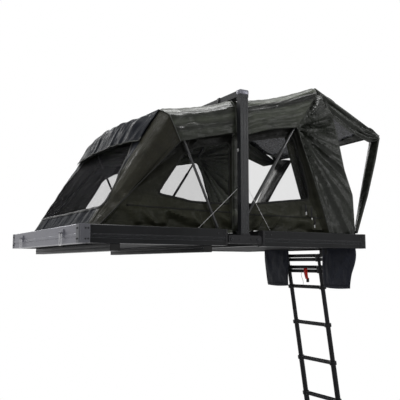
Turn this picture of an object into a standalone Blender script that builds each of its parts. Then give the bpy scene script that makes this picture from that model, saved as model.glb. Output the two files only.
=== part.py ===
"""Fold-out rooftop tent: two shallow aluminium shells, a hinged spine with a square hoop, fabric and a telescopic ladder.

Metres, +Z up. Tent coordinates run from the middle of the spine: +X towards the fold-out half,
Y across the tent, Z from the underside of the shells. An empty shifts them so that the world
origin lies on the underside of the inner mounting rail.
"""
import math

import bmesh
import bpy
from mathutils import Matrix, Vector

# Overall sizes
HALF_LENGTH = 1.06
WIDTH = 1.40
SHELL_HEIGHT = 0.10
SHELL_INNER_X = 0.135
SEAT_GAP = 0.0003

# Shell extrusions
RAIL_DEPTH = 0.040
RAIL_WALL = 0.012
RAIL_TOP_FLANGE = 0.012
RAIL_BOTTOM_FLANGE = 0.005
RAIL_BOTTOM_REACH = 0.055
RIDGE_Z = 0.047
RIDGE_PROUD = 0.002
GROOVE_Z = 0.032
GROOVE_HEIGHT = 0.008
GROOVE_DEPTH = 0.004
CORNER_LENGTH = 0.055
CORNER_PROUD = 0.0015
FLOOR_THICKNESS = 0.020
MATTRESS_THICKNESS = 0.058
MATTRESS_MARGIN = 0.030
MATTRESS_END_MARGIN = 0.085

# Mounting rails under the base half
MOUNT_RAIL_HEIGHT = 0.040
MOUNT_RAIL_WIDTH = 0.060
MOUNT_RAIL_INNER_X = -0.27
MOUNT_RAIL_OUTER_X = -0.86
MOUNT_RAIL_WALL = 0.004

# Spine and its two hinge lines
HINGE_X = 0.10
HINGE_Z = 0.040
PIN_RADIUS = 0.006
PIN_CLEARANCE = 0.0005
LUG_RADIUS = 0.018
LUG_WIDTH = 0.024
BRACKET_REACH = 0.024
BRACKET_HALF_HEIGHT = 0.026
BRACKET_ROUND = 0.015
BRACKET_DEPTH = 0.036
BEAM_HALF_WIDTH = 0.075
BEAM_THICKNESS = 0.024

# Square hoop on the spine
POST_WIDTH = 0.060
POST_DEPTH = 0.040
POST_GROOVE = 0.002
POST_GROOVE_WIDTH = 0.006
HOOP_TOP = 0.985
CAP_SIZE = 0.045

# Swinging poles inside the fabric
POLE_INSET = 0.030
POLE_RADIUS = 0.008
BASE_POLE_X = -0.160
BASE_POLE_Z = 0.1145
BASE_POLE_TILT = 25.0
BASE_POLE_LENGTH = 0.765
BASE_POLE_CORNER = 0.12
SUPPORT_POLE_X = 0.0
SUPPORT_POLE_Z = 0.105
SUPPORT_POLE_TILT = 33.5
SUPPORT_POLE_LENGTH = 1.20
SUPPORT_POLE_CORNER = 0.06
SUPPORT_TUBE_LENGTH = 0.66
SUPPORT_TUBE_RADIUS = 0.0105
SUPPORT_TUBE_WALL = 0.0018
SUPPORT_POLE_OVERLAP = 0.09
POLE_EAR = 0.004
POLE_EAR_WIDTH = 0.020
POLE_GAP = 0.0003

# Fabric
CLOTH = 0.003
WALL_Y = WIDTH / 2 - RAIL_DEPTH - SEAT_GAP
WALL_BOTTOM = 0.07
WALL_INSET = 0.0477
LEDGE_Z = SHELL_HEIGHT + 2 * SEAT_GAP + CLOTH
LEDGE_LAP = 0.008
SPINE_BAND_HALF = 0.034
BAND_GAP = 0.0012
EAVE_Z = 0.705
SHOULDER_Y = WALL_Y - 0.0117
SHOULDER_Z = 0.895
CROWN_Y = WALL_Y - 0.0997
CROWN_Z = 0.930

# Ladder
LADDER_X = 1.005
LADDER_Y = -0.1243 * WIDTH / 2
LADDER_Z = -0.045
LADDER_LEAN = 8.9
LADDER_HALF_SPACING = 0.18
RUNG_STATIONS = (0.0, 0.030, 0.090, 0.120, 0.245, 0.535, 0.825, 1.115, 1.405)
RUNG_PITCH = 0.29
TUBE_OVERLAP = 0.035
TUBE_WALL = 0.0012
TUBE_STEP = 0.0016
BOTTOM_TUBE_RADIUS = 0.0230
COLLAR_PROUD = 0.004
COLLAR_HEIGHT = 0.025
RUNG_DEPTH = 0.034
RUNG_HEIGHT = 0.022
TUBE_SIDES = 16
LADDER_EAR = 0.006
LADDER_EAR_OFFSET = 0.035
LADDER_PLATE = 0.005
LADDER_PIN = 0.005

# Boot bags
BAG_X = 0.960
BAG_THICKNESS = 0.016
BAG_DROP = 0.285

# Latches on the outer end of the base half
LATCH_STATIONS = (-0.30 * WIDTH, 0.30 * WIDTH)
LATCH_STAND_OFF = 0.010
LATCH_PLATE = 0.004
LATCH_EAR = 0.003
LATCH_EAR_RADIUS = 0.006
LATCH_Z = 0.062
BAIL_LENGTH = 0.068
BAIL_WIDTH = 0.034
BAIL_RADIUS = 0.0025

HALF_WIDTH = WIDTH / 2
INNER_Y = HALF_WIDTH - RAIL_DEPTH
POLE_Y = INNER_Y - POLE_INSET
WALL_IN_Y = WALL_Y - WALL_INSET
RIM_Y = INNER_Y + LEDGE_LAP
LUG_STATIONS = tuple(share * INNER_Y for share in (-0.939, -0.318, 0.318, 0.939))
TENT_ORIGIN = Vector((-MOUNT_RAIL_INNER_X, 0.0, MOUNT_RAIL_HEIGHT))
SIDES = ((-1, "near"), (1, "far"))

COLOURS = {
    "black_aluminium": ((0.03, 0.031, 0.033), 0.4, 0.7),
    "grey_aluminium": ((0.30, 0.30, 0.33), 0.35, 0.8),
    "steel": ((0.62, 0.62, 0.64), 0.28, 1.0),
    "board": ((0.08, 0.08, 0.085), 0.55, 0.1),
    "plastic": ((0.02, 0.02, 0.02), 0.5, 0.0),
    "canvas": ((0.055, 0.057, 0.05), 0.75, 0.0),
    "mattress_cloth": ((0.12, 0.12, 0.125), 0.85, 0.0),
    "bag_cloth": ((0.02, 0.022, 0.028), 0.8, 0.0),
}


def clear_scene():
    """Removes every object that the file starts with."""
    for item in list(bpy.data.objects):
        bpy.data.objects.remove(item, do_unlink=True)


def material(name):
    """Returns the Principled material of one of the named colours."""
    found = bpy.data.materials.get(name)
    if found:
        return found
    colour, roughness, metallic = COLOURS[name]
    found = bpy.data.materials.new(name)
    found.use_nodes = True
    shader = found.node_tree.nodes["Principled BSDF"]
    shader.inputs["Base Color"].default_value = (*colour, 1.0)
    shader.inputs["Roughness"].default_value = roughness
    shader.inputs["Metallic"].default_value = metallic
    found.diffuse_color = (*colour, 1.0)
    return found


def make_empty(name, location, parent=None, tilt=0.0):
    """Makes a guide empty on a joint's axis, turned by a tilt in degrees about Y."""
    empty = bpy.data.objects.new(name, None)
    empty.location = location
    empty.rotation_euler = (0.0, math.radians(tilt), 0.0)
    empty.parent = parent
    bpy.context.scene.collection.objects.link(empty)
    return empty


def add_object(name, bm, finish, parent, offset=(0.0, 0.0, 0.0), smooth=False):
    """Turns a bmesh into a named object under an empty."""
    bmesh.ops.recalc_face_normals(bm, faces=bm.faces)
    mesh = bpy.data.meshes.new(name)
    bm.to_mesh(mesh)
    bm.free()
    mesh.materials.append(material(finish))
    if smooth:
        mesh.shade_smooth()
        mesh.set_sharp_from_angle(angle=math.radians(35))
    item = bpy.data.objects.new(name, mesh)
    item.parent = parent
    item.location = offset
    bpy.context.scene.collection.objects.link(item)
    return item


def add_box(bm, low, high):
    """Adds a box between two corners."""
    low, high = Vector(low), Vector(high)
    size = high - low
    middle = (low + high) / 2
    matrix = Matrix.Translation(middle) @ Matrix.Diagonal((*size, 1.0))
    return bmesh.ops.create_cube(bm, size=1.0, matrix=matrix)["verts"]


def add_prism(bm, outline, axis, start, end):
    """Extrudes a closed outline along X, Y or Z; the outline gives the other two coordinates in order."""
    def at(point, along):
        values = list(point)
        values.insert(axis, along)
        return Vector(values)
    first = [bm.verts.new(at(point, start)) for point in outline]
    face = bm.faces.new(first)
    run = Vector((0.0, 0.0, 0.0))
    run[axis] = end - start
    grown = bmesh.ops.extrude_face_region(bm, geom=[face], use_keep_orig=True)
    moved = [part for part in grown["geom"] if isinstance(part, bmesh.types.BMVert)]
    bmesh.ops.translate(bm, verts=moved, vec=run)
    return first + moved


def add_rod(bm, start, end, radius, sides=12):
    """Adds a round bar between two points."""
    start, end = Vector(start), Vector(end)
    run = end - start
    turn = run.to_track_quat("Z", "Y").to_matrix().to_4x4()
    matrix = Matrix.Translation((start + end) / 2) @ turn
    made = bmesh.ops.create_cone(bm, cap_ends=True, segments=sides, radius1=radius, radius2=radius,
                                 depth=run.length, matrix=matrix)
    return made["verts"]


def rounded_outline(low, high, radius, steps=4):
    """Returns the outline of a rectangle with round corners."""
    corners = ((high[0] - radius, high[1] - radius, 0), (low[0] + radius, high[1] - radius, 90),
               (low[0] + radius, low[1] + radius, 180), (high[0] - radius, low[1] + radius, 270))
    points = []
    for across, up, begin in corners:
        for step in range(steps + 1):
            angle = math.radians(begin + 90 * step / steps)
            points.append((across + radius * math.cos(angle), up + radius * math.sin(angle)))
    return points


def add_cutter(name, bm, parent, offset=(0.0, 0.0, 0.0)):
    """Makes a hidden object that cuts others."""
    cutter = add_object(name, bm, "plastic", parent, offset)
    cutter.hide_render = True
    cutter.display_type = "WIRE"
    return cutter


def boolean(target, cutter, operation):
    """Adds an exact Boolean modifier."""
    step = target.modifiers.new(operation.lower(), "BOOLEAN")
    step.operation = operation
    step.object = cutter
    step.solver = "EXACT"
    return step


def rail_profile(side):
    """Returns the (y, z) outline of a long side extrusion; side is -1 near and +1 far."""
    outer = HALF_WIDTH
    inner = outer - RAIL_WALL
    top = SHELL_HEIGHT
    points = [
        (outer - 0.003, top), (outer, top - 0.003),
        (outer, RIDGE_Z + 0.004), (outer + RIDGE_PROUD, RIDGE_Z + 0.002), (outer + RIDGE_PROUD, RIDGE_Z - 0.002),
        (outer, RIDGE_Z - 0.004), (outer, GROOVE_Z + GROOVE_HEIGHT / 2),
        (outer - GROOVE_DEPTH, GROOVE_Z + GROOVE_HEIGHT / 2 - 0.001),
        (outer - GROOVE_DEPTH, GROOVE_Z - GROOVE_HEIGHT / 2 + 0.001), (outer, GROOVE_Z - GROOVE_HEIGHT / 2),
        (outer, 0.002), (outer - 0.002, 0.0),
        (outer - RAIL_BOTTOM_REACH, 0.0), (outer - RAIL_BOTTOM_REACH, RAIL_BOTTOM_FLANGE),
        (inner, RAIL_BOTTOM_FLANGE), (inner, top - RAIL_TOP_FLANGE),
        (outer - RAIL_DEPTH, top - RAIL_TOP_FLANGE), (outer - RAIL_DEPTH, top),
    ]
    return [(side * across, up) for across, up in points]


def end_profile(sign):
    """Returns the (x, z) outline of the outer end extrusion; sign is -1 on the base and +1 on the fold-out."""
    return [(sign * (HALF_LENGTH - HALF_WIDTH + abs(across)), up) for across, up in rail_profile(1)]


def pole_ear(bm, x, foot, axis_z, face_y):
    """Adds the ear that a pole's leg turns on, just inboard of the leg's inner face."""
    inboard = -math.copysign(1.0, face_y)
    low, high = sorted((face_y + inboard * POLE_GAP, face_y + inboard * (POLE_GAP + POLE_EAR)))
    half = POLE_EAR_WIDTH / 2
    add_prism(bm, [(x - half, foot), (x + half, foot), (x + half, axis_z), (x + half / 2, axis_z + half),
                   (x - half / 2, axis_z + half), (x - half, axis_z)], 1, low, high)


def latch_seats(end_rail, parent, offset):
    """Adds each latch's plate and its two bored ears to the outer end rail."""
    plates, ears, bores = bmesh.new(), bmesh.new(), bmesh.new()
    face = -HALF_LENGTH - RIDGE_PROUD
    for station in LATCH_STATIONS:
        half = BAIL_WIDTH / 2 + BAIL_RADIUS + 0.0007
        add_box(plates, (face - LATCH_PLATE, station - half - LATCH_EAR, LATCH_Z - 0.024),
                (face + RIDGE_PROUD + 0.001, station + half + LATCH_EAR, LATCH_Z + 0.020))
        for side, _ in SIDES:
            low, high = sorted((station + side * half, station + side * (half + LATCH_EAR)))
            outline = [(face - 0.001, LATCH_Z + LATCH_EAR_RADIUS), (face - 0.001, LATCH_Z - LATCH_EAR_RADIUS)]
            for step in range(7):
                angle = math.radians(-90 - 180 * step / 6)
                outline.append((face - LATCH_STAND_OFF + LATCH_EAR_RADIUS * math.cos(angle),
                                LATCH_Z + LATCH_EAR_RADIUS * math.sin(angle)))
            add_prism(ears, outline, 1, low, high)
        reach = half + LATCH_EAR + 0.002
        add_rod(bores, (face - LATCH_STAND_OFF, station - reach, LATCH_Z),
                (face - LATCH_STAND_OFF, station + reach, LATCH_Z), BAIL_RADIUS + PIN_CLEARANCE, 8)
    boolean(end_rail, add_cutter("latch_plates", plates, parent, offset), "UNION")
    boolean(end_rail, add_cutter("latch_ears", ears, parent, offset), "UNION")
    boolean(end_rail, add_cutter("latch_bores", bores, parent, offset), "DIFFERENCE")


def shell(prefix, sign, parent, pivot):
    """Builds one shell's extrusions, corners, floor and mattress; sign is -1 for the base, +1 for the fold-out."""
    offset = -pivot
    inner_end = sign * SHELL_INNER_X
    outer_end = sign * (HALF_LENGTH - CORNER_LENGTH - SEAT_GAP)

    for side, side_name in SIDES:
        bm = bmesh.new()
        add_prism(bm, rail_profile(side), 0, inner_end, outer_end)
        add_object(prefix + "_side_rail_" + side_name, bm, "black_aluminium", parent, offset)

    bm = bmesh.new()
    reach = HALF_WIDTH - CORNER_LENGTH - SEAT_GAP
    add_prism(bm, end_profile(sign), 1, -reach, reach)
    end_rail = add_object(prefix + "_end_rail", bm, "grey_aluminium", parent, offset)
    if sign < 0:
        latch_seats(end_rail, parent, offset)

    for side, side_name in SIDES:
        bm = bmesh.new()
        low, high = HALF_LENGTH - CORNER_LENGTH, HALF_LENGTH + CORNER_PROUD
        across, outer = HALF_WIDTH - CORNER_LENGTH, HALF_WIDTH + CORNER_PROUD
        outline = [(low, outer - RAIL_WALL), (low, outer), (high - 0.018, outer), (high - 0.005, outer - 0.005),
                   (high, outer - 0.018), (high, across), (high - RAIL_WALL, across),
                   (high - RAIL_WALL, outer - RAIL_WALL - 0.012), (high - RAIL_WALL - 0.012, outer - RAIL_WALL)]
        outline = [(sign * x, side * y) for x, y in outline]
        add_prism(bm, outline, 2, 0.0, SHELL_HEIGHT + 0.0005)
        add_object(prefix + "_corner_" + side_name, bm, "grey_aluminium", parent, offset)

    bm = bmesh.new()
    outline = [(0.0, RAIL_BOTTOM_FLANGE + SEAT_GAP), (0.0, SHELL_HEIGHT - 0.004), (0.004, SHELL_HEIGHT),
               (RAIL_DEPTH, SHELL_HEIGHT), (RAIL_DEPTH, SHELL_HEIGHT - 0.006), (0.006, SHELL_HEIGHT - 0.006),
               (0.006, 0.012), (RAIL_DEPTH, 0.012), (RAIL_DEPTH, RAIL_BOTTOM_FLANGE + SEAT_GAP)]
    outline = [(sign * (SHELL_INNER_X + x), z) for x, z in outline]
    inner_reach = WALL_Y - CLOTH - SEAT_GAP
    add_prism(bm, outline, 1, -inner_reach, inner_reach)
    rail = add_object(prefix + "_inner_rail", bm, "black_aluminium", parent, offset)
    lugs = bmesh.new()
    for station in LUG_STATIONS:
        low, high = station - LUG_WIDTH / 2, station + LUG_WIDTH / 2
        foot = sign * (SHELL_INNER_X + 0.003)
        centre = sign * HINGE_X
        outline = [(foot, HINGE_Z - LUG_RADIUS), (foot, HINGE_Z + LUG_RADIUS)]
        for step in range(9):
            angle = math.radians(90 + 180 * step / 8)
            outline.append((centre + sign * LUG_RADIUS * math.cos(angle), HINGE_Z + LUG_RADIUS * math.sin(angle)))
        add_prism(lugs, outline, 1, low, high)
    if sign < 0:
        for side, _ in SIDES:
            pole_ear(lugs, BASE_POLE_X, SHELL_HEIGHT - 0.003, BASE_POLE_Z, side * (POLE_Y - POLE_RADIUS))
    bores = bmesh.new()
    add_rod(bores, (sign * HINGE_X, -INNER_Y, HINGE_Z), (sign * HINGE_X, INNER_Y, HINGE_Z), PIN_RADIUS + PIN_CLEARANCE)
    boolean(rail, add_cutter(prefix + "_lug_shape", lugs, parent, offset), "UNION")
    boolean(rail, add_cutter(prefix + "_lug_bore", bores, parent, offset), "DIFFERENCE")

    bm = bmesh.new()
    floor_low = RAIL_BOTTOM_FLANGE + SEAT_GAP
    floor_inner = sign * (SHELL_INNER_X + RAIL_DEPTH + SEAT_GAP)
    floor_outer = sign * (HALF_LENGTH - RAIL_WALL - 0.006)
    floor_reach = HALF_WIDTH - RAIL_WALL - 0.006
    add_box(bm, (min(floor_inner, floor_outer), -floor_reach + 0.02, floor_low),
            (max(floor_inner, floor_outer), floor_reach - 0.02, floor_low + FLOOR_THICKNESS))
    add_object(prefix + "_floor", bm, "board", parent, offset)

    bm = bmesh.new()
    pad_low = floor_low + FLOOR_THICKNESS + SEAT_GAP
    pad_outer = sign * (HALF_LENGTH - RAIL_DEPTH - MATTRESS_END_MARGIN)
    pad_inner = floor_inner + sign * 0.004
    corner_a = (min(pad_inner, pad_outer), -INNER_Y + MATTRESS_MARGIN, pad_low)
    corner_b = (max(pad_inner, pad_outer), INNER_Y - MATTRESS_MARGIN, pad_low + MATTRESS_THICKNESS)
    add_box(bm, corner_a, corner_b)
    pad = add_object(prefix + "_mattress", bm, "mattress_cloth", parent, offset)
    rounding = pad.modifiers.new("rounded", "BEVEL")
    rounding.width = 0.012
    rounding.segments = 2
    rounding.limit_method = "ANGLE"


def mounting_rails(parent):
    """Builds the two side-slotted rails that run across under the base half."""
    half = MOUNT_RAIL_WIDTH / 2
    wall = MOUNT_RAIL_WALL
    top = -SEAT_GAP
    base = -MOUNT_RAIL_HEIGHT
    for name, centre in (("inner", MOUNT_RAIL_INNER_X), ("outer", MOUNT_RAIL_OUTER_X)):
        bm = bmesh.new()
        outline = [(-half, base), (half, base), (half, base + 0.016), (half - wall, base + 0.018),
                   (half - wall, base + 0.026), (half, base + 0.028), (half, top), (-half, top),
                   (-half, base + 0.028), (-half + wall, base + 0.026), (-half + wall, base + 0.018), (-half, base + 0.016)]
        add_prism(bm, [(centre + x, z) for x, z in outline], 1, -HALF_WIDTH + 0.01, HALF_WIDTH - 0.01)
        add_object("mounting_rail_" + name, bm, "black_aluminium", parent)


def spine(parent, pivot):
    """Builds the spine's end brackets, beam, hinge pins and square hoop."""
    offset = -pivot
    outline = rounded_outline((-HINGE_X - BRACKET_REACH, HINGE_Z - BRACKET_HALF_HEIGHT),
                              (HINGE_X + BRACKET_REACH, HINGE_Z + BRACKET_HALF_HEIGHT), BRACKET_ROUND)
    bores = bmesh.new()
    for x in (-HINGE_X, HINGE_X):
        for side, _ in SIDES:
            add_rod(bores, (x, side * (HALF_WIDTH - 0.004), HINGE_Z), (x, side * (INNER_Y - 0.01), HINGE_Z),
                    PIN_RADIUS + SEAT_GAP)
    bore_cutter = add_cutter("bracket_bores", bores, parent, offset)
    for side, side_name in SIDES:
        bm = bmesh.new()
        add_prism(bm, outline, 1, side * HALF_WIDTH, side * (HALF_WIDTH - BRACKET_DEPTH))
        bracket = add_object("spine_bracket_" + side_name, bm, "black_aluminium", parent, offset)
        boolean(bracket, bore_cutter, "DIFFERENCE")
    for x, pin_name in ((-HINGE_X, "base"), (HINGE_X, "fold")):
        bm = bmesh.new()
        add_rod(bm, (x, -HALF_WIDTH + 0.0045, HINGE_Z), (x, HALF_WIDTH - 0.0045, HINGE_Z), PIN_RADIUS)
        add_object("hinge_pin_" + pin_name, bm, "steel", parent, offset, smooth=True)

    bm = bmesh.new()
    reach = HALF_WIDTH - BRACKET_DEPTH - SEAT_GAP
    low, high = HINGE_Z - BEAM_THICKNESS / 2, HINGE_Z + BEAM_THICKNESS / 2
    outline = [(-BEAM_HALF_WIDTH, low), (BEAM_HALF_WIDTH, low), (BEAM_HALF_WIDTH, high - 0.006),
               (BEAM_HALF_WIDTH - 0.006, high), (-BEAM_HALF_WIDTH + 0.006, high), (-BEAM_HALF_WIDTH, high - 0.006)]
    add_prism(bm, outline, 1, -reach, reach)
    beam = add_object("spine_beam", bm, "black_aluminium", parent, offset)
    ears = bmesh.new()
    for side, _ in SIDES:
        pole_ear(ears, SUPPORT_POLE_X, HINGE_Z, SUPPORT_POLE_Z, side * (POLE_Y - SUPPORT_TUBE_RADIUS))
    boolean(beam, add_cutter("support_pole_ears", ears, parent, offset), "UNION")

    half, groove, depth = POST_WIDTH / 2, POST_GROOVE_WIDTH / 2, POST_GROOVE
    foot = HINGE_Z + BRACKET_HALF_HEIGHT + SEAT_GAP
    head = HOOP_TOP - CAP_SIZE - SEAT_GAP
    for side, side_name in SIDES:
        bm = bmesh.new()
        outer, inner = HALF_WIDTH, HALF_WIDTH - POST_DEPTH
        outline = [(-half, inner), (-half, outer - 0.002), (-half + 0.002, outer)]
        for centre in (-0.012, 0.012):
            outline += [(centre - groove, outer), (centre - groove + 0.001, outer - depth),
                        (centre + groove - 0.001, outer - depth), (centre + groove, outer)]
        outline += [(half - 0.002, outer), (half, outer - 0.002), (half, inner)]
        add_prism(bm, [(x, side * y) for x, y in outline], 2, foot, head)
        add_object("hoop_post_" + side_name, bm, "black_aluminium", parent, offset)

    bm = bmesh.new()
    outer = HOOP_TOP
    inner = HOOP_TOP - POST_DEPTH
    outline = [(-half, inner), (-half, outer - 0.002), (-half + 0.002, outer)]
    for centre in (-0.012, 0.012):
        outline += [(centre - groove, outer), (centre - groove + 0.001, outer - depth),
                    (centre + groove - 0.001, outer - depth), (centre + groove, outer)]
    outline += [(half - 0.002, outer), (half, outer - 0.002), (half, inner)]
    reach = HALF_WIDTH - CAP_SIZE + 0.01
    add_prism(bm, outline, 1, -reach, reach)
    bar = add_object("hoop_top_bar", bm, "black_aluminium", parent, offset)

    bm = bmesh.new()
    for side, _ in SIDES:
        outer_y, inner_y = HALF_WIDTH + 0.001, HALF_WIDTH - CAP_SIZE
        round_size = 0.016
        outline = [(inner_y, HOOP_TOP - POST_DEPTH), (inner_y, HOOP_TOP + 0.001)]
        for step in range(6):
            angle = math.radians(90 - 90 * step / 5)
            outline.append((outer_y - round_size + round_size * math.cos(angle),
                            HOOP_TOP + 0.001 - round_size + round_size * math.sin(angle)))
        outline += [(outer_y, HOOP_TOP - CAP_SIZE), (HALF_WIDTH - POST_DEPTH, HOOP_TOP - CAP_SIZE),
                    (HALF_WIDTH - POST_DEPTH, HOOP_TOP - POST_DEPTH)]
        add_prism(bm, [(side * y, z) for y, z in outline], 0, -half - 0.001, half + 0.001)
    boolean(bar, add_cutter("hoop_corner_caps", bm, parent, offset), "UNION")


def pole_path(length, corner, steps=6):
    """Returns one leg and half the crossbar of a square pole hoop, in its own (y, z) plane."""
    points = [(POLE_Y, 0.0), (POLE_Y, length - corner)]
    for step in range(1, steps + 1):
        angle = math.radians(90 * step / steps)
        points.append((POLE_Y - corner + corner * math.cos(angle), length - corner + corner * math.sin(angle)))
    return points


def add_tube_path(bm, points, radius, sides=10):
    """Sweeps a round bar along points in the x = 0 plane, with mitred rings."""
    rings = []
    count = len(points)
    for index, (across, up) in enumerate(points):
        before = Vector((0.0, *points[max(index - 1, 0)]))
        here = Vector((0.0, across, up))
        after = Vector((0.0, *points[min(index + 1, count - 1)]))
        first = (here - before).normalized() if index else (after - here).normalized()
        second = (after - here).normalized() if index < count - 1 else first
        along = (first + second).normalized()
        stretch = 1.0 / max(along.dot(first), 0.5)
        side_axis = Vector((1.0, 0.0, 0.0))
        out_axis = along.cross(side_axis)
        ring = []
        for step in range(sides):
            angle = 2 * math.pi * step / sides
            point = here + side_axis * radius * math.cos(angle) + out_axis * radius * stretch * math.sin(angle)
            ring.append(bm.verts.new(point))
        rings.append(ring)
    for one, two in zip(rings, rings[1:]):
        for step in range(sides):
            after = (step + 1) % sides
            bm.faces.new((one[step], one[after], two[after], two[step]))
    bm.faces.new(rings[0][::-1])
    bm.faces.new(rings[-1])


def base_pole(parent):
    """Builds the swinging hoop of the base half, standing along its own Z."""
    half_path = pole_path(BASE_POLE_LENGTH, BASE_POLE_CORNER)
    path = half_path + [(-across, up) for across, up in reversed(half_path)]
    bm = bmesh.new()
    add_tube_path(bm, path, POLE_RADIUS)
    add_object("base_pole", bm, "black_aluminium", parent, smooth=True)


def support_poles(tube_parent, pole_parent):
    """Builds the telescopic hoop that lifts the fold-out roof: two outer tubes and the sliding top."""
    for side, side_name in SIDES:
        bm = bmesh.new()
        add_rod(bm, (0.0, side * POLE_Y, -0.006), (0.0, side * POLE_Y, SUPPORT_TUBE_LENGTH), SUPPORT_TUBE_RADIUS)
        tube = add_object("support_tube_" + side_name, bm, "black_aluminium", tube_parent, smooth=True)
        bore = bmesh.new()
        add_rod(bore, (0.0, side * POLE_Y, 0.02), (0.0, side * POLE_Y, SUPPORT_TUBE_LENGTH + 0.02),
                SUPPORT_TUBE_RADIUS - SUPPORT_TUBE_WALL)
        boolean(tube, add_cutter("support_tube_bore_" + side_name, bore, tube_parent), "DIFFERENCE")

    start = SUPPORT_TUBE_LENGTH - SUPPORT_POLE_OVERLAP
    half_path = pole_path(SUPPORT_POLE_LENGTH, SUPPORT_POLE_CORNER)
    half_path[0] = (POLE_Y, start)
    path = half_path + [(-across, up) for across, up in reversed(half_path)]
    bm = bmesh.new()
    add_tube_path(bm, path, POLE_RADIUS)
    add_object("support_pole", bm, "black_aluminium", pole_parent, smooth=True)


def inner_corner(vert, thickness):
    """Returns the point that lies one thickness inside every face around a corner."""
    spread = Matrix.Diagonal((0.001, 0.001, 0.001))
    push = Vector((0.0, 0.0, 0.0))
    for face in vert.link_faces:
        normal = face.normal
        spread += Matrix([normal * normal.x, normal * normal.y, normal * normal.z])
        push -= normal * thickness
    return vert.co + spread.inverted() @ push


def thicken(bm, thickness):
    """Closes a sheet with a second layer inside it and a strip along every open edge."""
    bmesh.ops.triangulate(bm, faces=bm.faces)
    bm.normal_update()
    faces = [list(face.verts) for face in bm.faces]
    rim = [edge.link_loops[0] for edge in bm.edges if edge.is_boundary]
    rim = [(loop.vert, loop.link_loop_next.vert) for loop in rim]
    corners = {vert: inner_corner(vert, thickness) for vert in bm.verts}
    inner = {vert: bm.verts.new(point) for vert, point in corners.items()}
    for one, two in rim:
        bm.faces.new((two, one, inner[one], inner[two]))
    for face in faces:
        bm.faces.new([inner[vert] for vert in reversed(face)])


def skin(name, near_points, faces, parent, pivot, roof_faces=(), finish="canvas", thickness=CLOTH):
    """Makes a thin sheet from named near-side points, mirrored to the far side, with its thickness inwards."""
    bm = bmesh.new()
    near = {key: bm.verts.new(Vector(point)) for key, point in near_points.items()}
    far = {key: bm.verts.new(Vector((point[0], -point[1], point[2]))) for key, point in near_points.items()}
    for face in faces:
        bm.faces.new([near[key] for key in face])
        bm.faces.new([far[key] for key in reversed(face)])
    for face in roof_faces:
        corners = [near[key] for key in face]
        corners += [far[key] for key in reversed(face)]
        bm.faces.new(corners)
    bmesh.ops.recalc_face_normals(bm, faces=bm.faces)
    middle = Vector((sum(v.co.x for v in bm.verts) / len(bm.verts), 0.0, 0.4))
    outward = sum((face.calc_center_median() - middle).dot(face.normal) * face.calc_area() for face in bm.faces)
    if outward < 0:
        bmesh.ops.reverse_faces(bm, faces=bm.faces)
    thicken(bm, thickness)
    mesh = bpy.data.meshes.new(name)
    bm.to_mesh(mesh)
    bm.free()
    mesh.materials.append(material(finish))
    item = bpy.data.objects.new(name, mesh)
    item.parent = parent
    item.location = -pivot
    bpy.context.scene.collection.objects.link(item)
    return item


def pole_head(x, z, tilt, length):
    """Returns the x and z of a swinging hoop's crossbar; a positive tilt leans towards the ladder."""
    angle = math.radians(tilt)
    return x + length * math.sin(angle), z + length * math.cos(angle)


def canopy_points(sign, pole_eave, points):
    """Adds the foot, ledge, recessed wall and jamb of one canopy to its own points; sign is -1 on the base."""
    edge = sign * (SPINE_BAND_HALF + BAND_GAP)
    jamb = edge + sign * CLOTH
    slope = (pole_eave[1] - EAVE_Z) / (pole_eave[0] - edge)
    eave_jamb = EAVE_Z + slope * (jamb - edge)
    corner = points["corner_side"][0]
    common = {
        "eave": (edge, -WALL_Y, EAVE_Z),
        "shoulder": (edge, -SHOULDER_Y, SHOULDER_Z),
        "crown": (edge, -CROWN_Y, CROWN_Z),
        "eave_jamb": (jamb, -WALL_Y, eave_jamb),
        "wall_eave": (jamb, -WALL_IN_Y, eave_jamb),
        "pole_eave": (pole_eave[0], -WALL_Y, pole_eave[1]),
        "wall_pole": (pole_eave[0], -WALL_IN_Y, pole_eave[1]),
        "foot": (jamb, -WALL_IN_Y, LEDGE_Z),
        "jamb_foot": (jamb, -WALL_Y, LEDGE_Z),
        "rim_foot": (jamb, -RIM_Y, LEDGE_Z),
        "wall_corner": (corner, -WALL_IN_Y, LEDGE_Z),
        "rim_corner": (corner, -RIM_Y, LEDGE_Z),
    }
    common.update(points)
    return common


BASE_HEAD = pole_head(BASE_POLE_X, BASE_POLE_Z, -BASE_POLE_TILT, BASE_POLE_LENGTH)
SUPPORT_HEAD = pole_head(SUPPORT_POLE_X, SUPPORT_POLE_Z, SUPPORT_POLE_TILT, SUPPORT_POLE_LENGTH)
BASE_CROWN_Y = POLE_Y - 0.085
BASE_POINTS = canopy_points(-1, (BASE_HEAD[0] + 0.0533, BASE_HEAD[1] - 0.1828), {
    "pole_shoulder": (BASE_HEAD[0] - 0.022, -POLE_Y - 0.015, BASE_HEAD[1] - 0.033),
    "pole_crown": (BASE_HEAD[0] - 0.032, -BASE_CROWN_Y, BASE_HEAD[1] + 0.0185),
    "corner_side": (-0.940, -WALL_Y, LEDGE_Z),
    "corner_end": (-0.965, -WALL_Y + 0.06, LEDGE_Z),
    "rim_end": (-HALF_LENGTH + RAIL_DEPTH - LEDGE_LAP, -WALL_Y + 0.06, LEDGE_Z),
})
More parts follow.
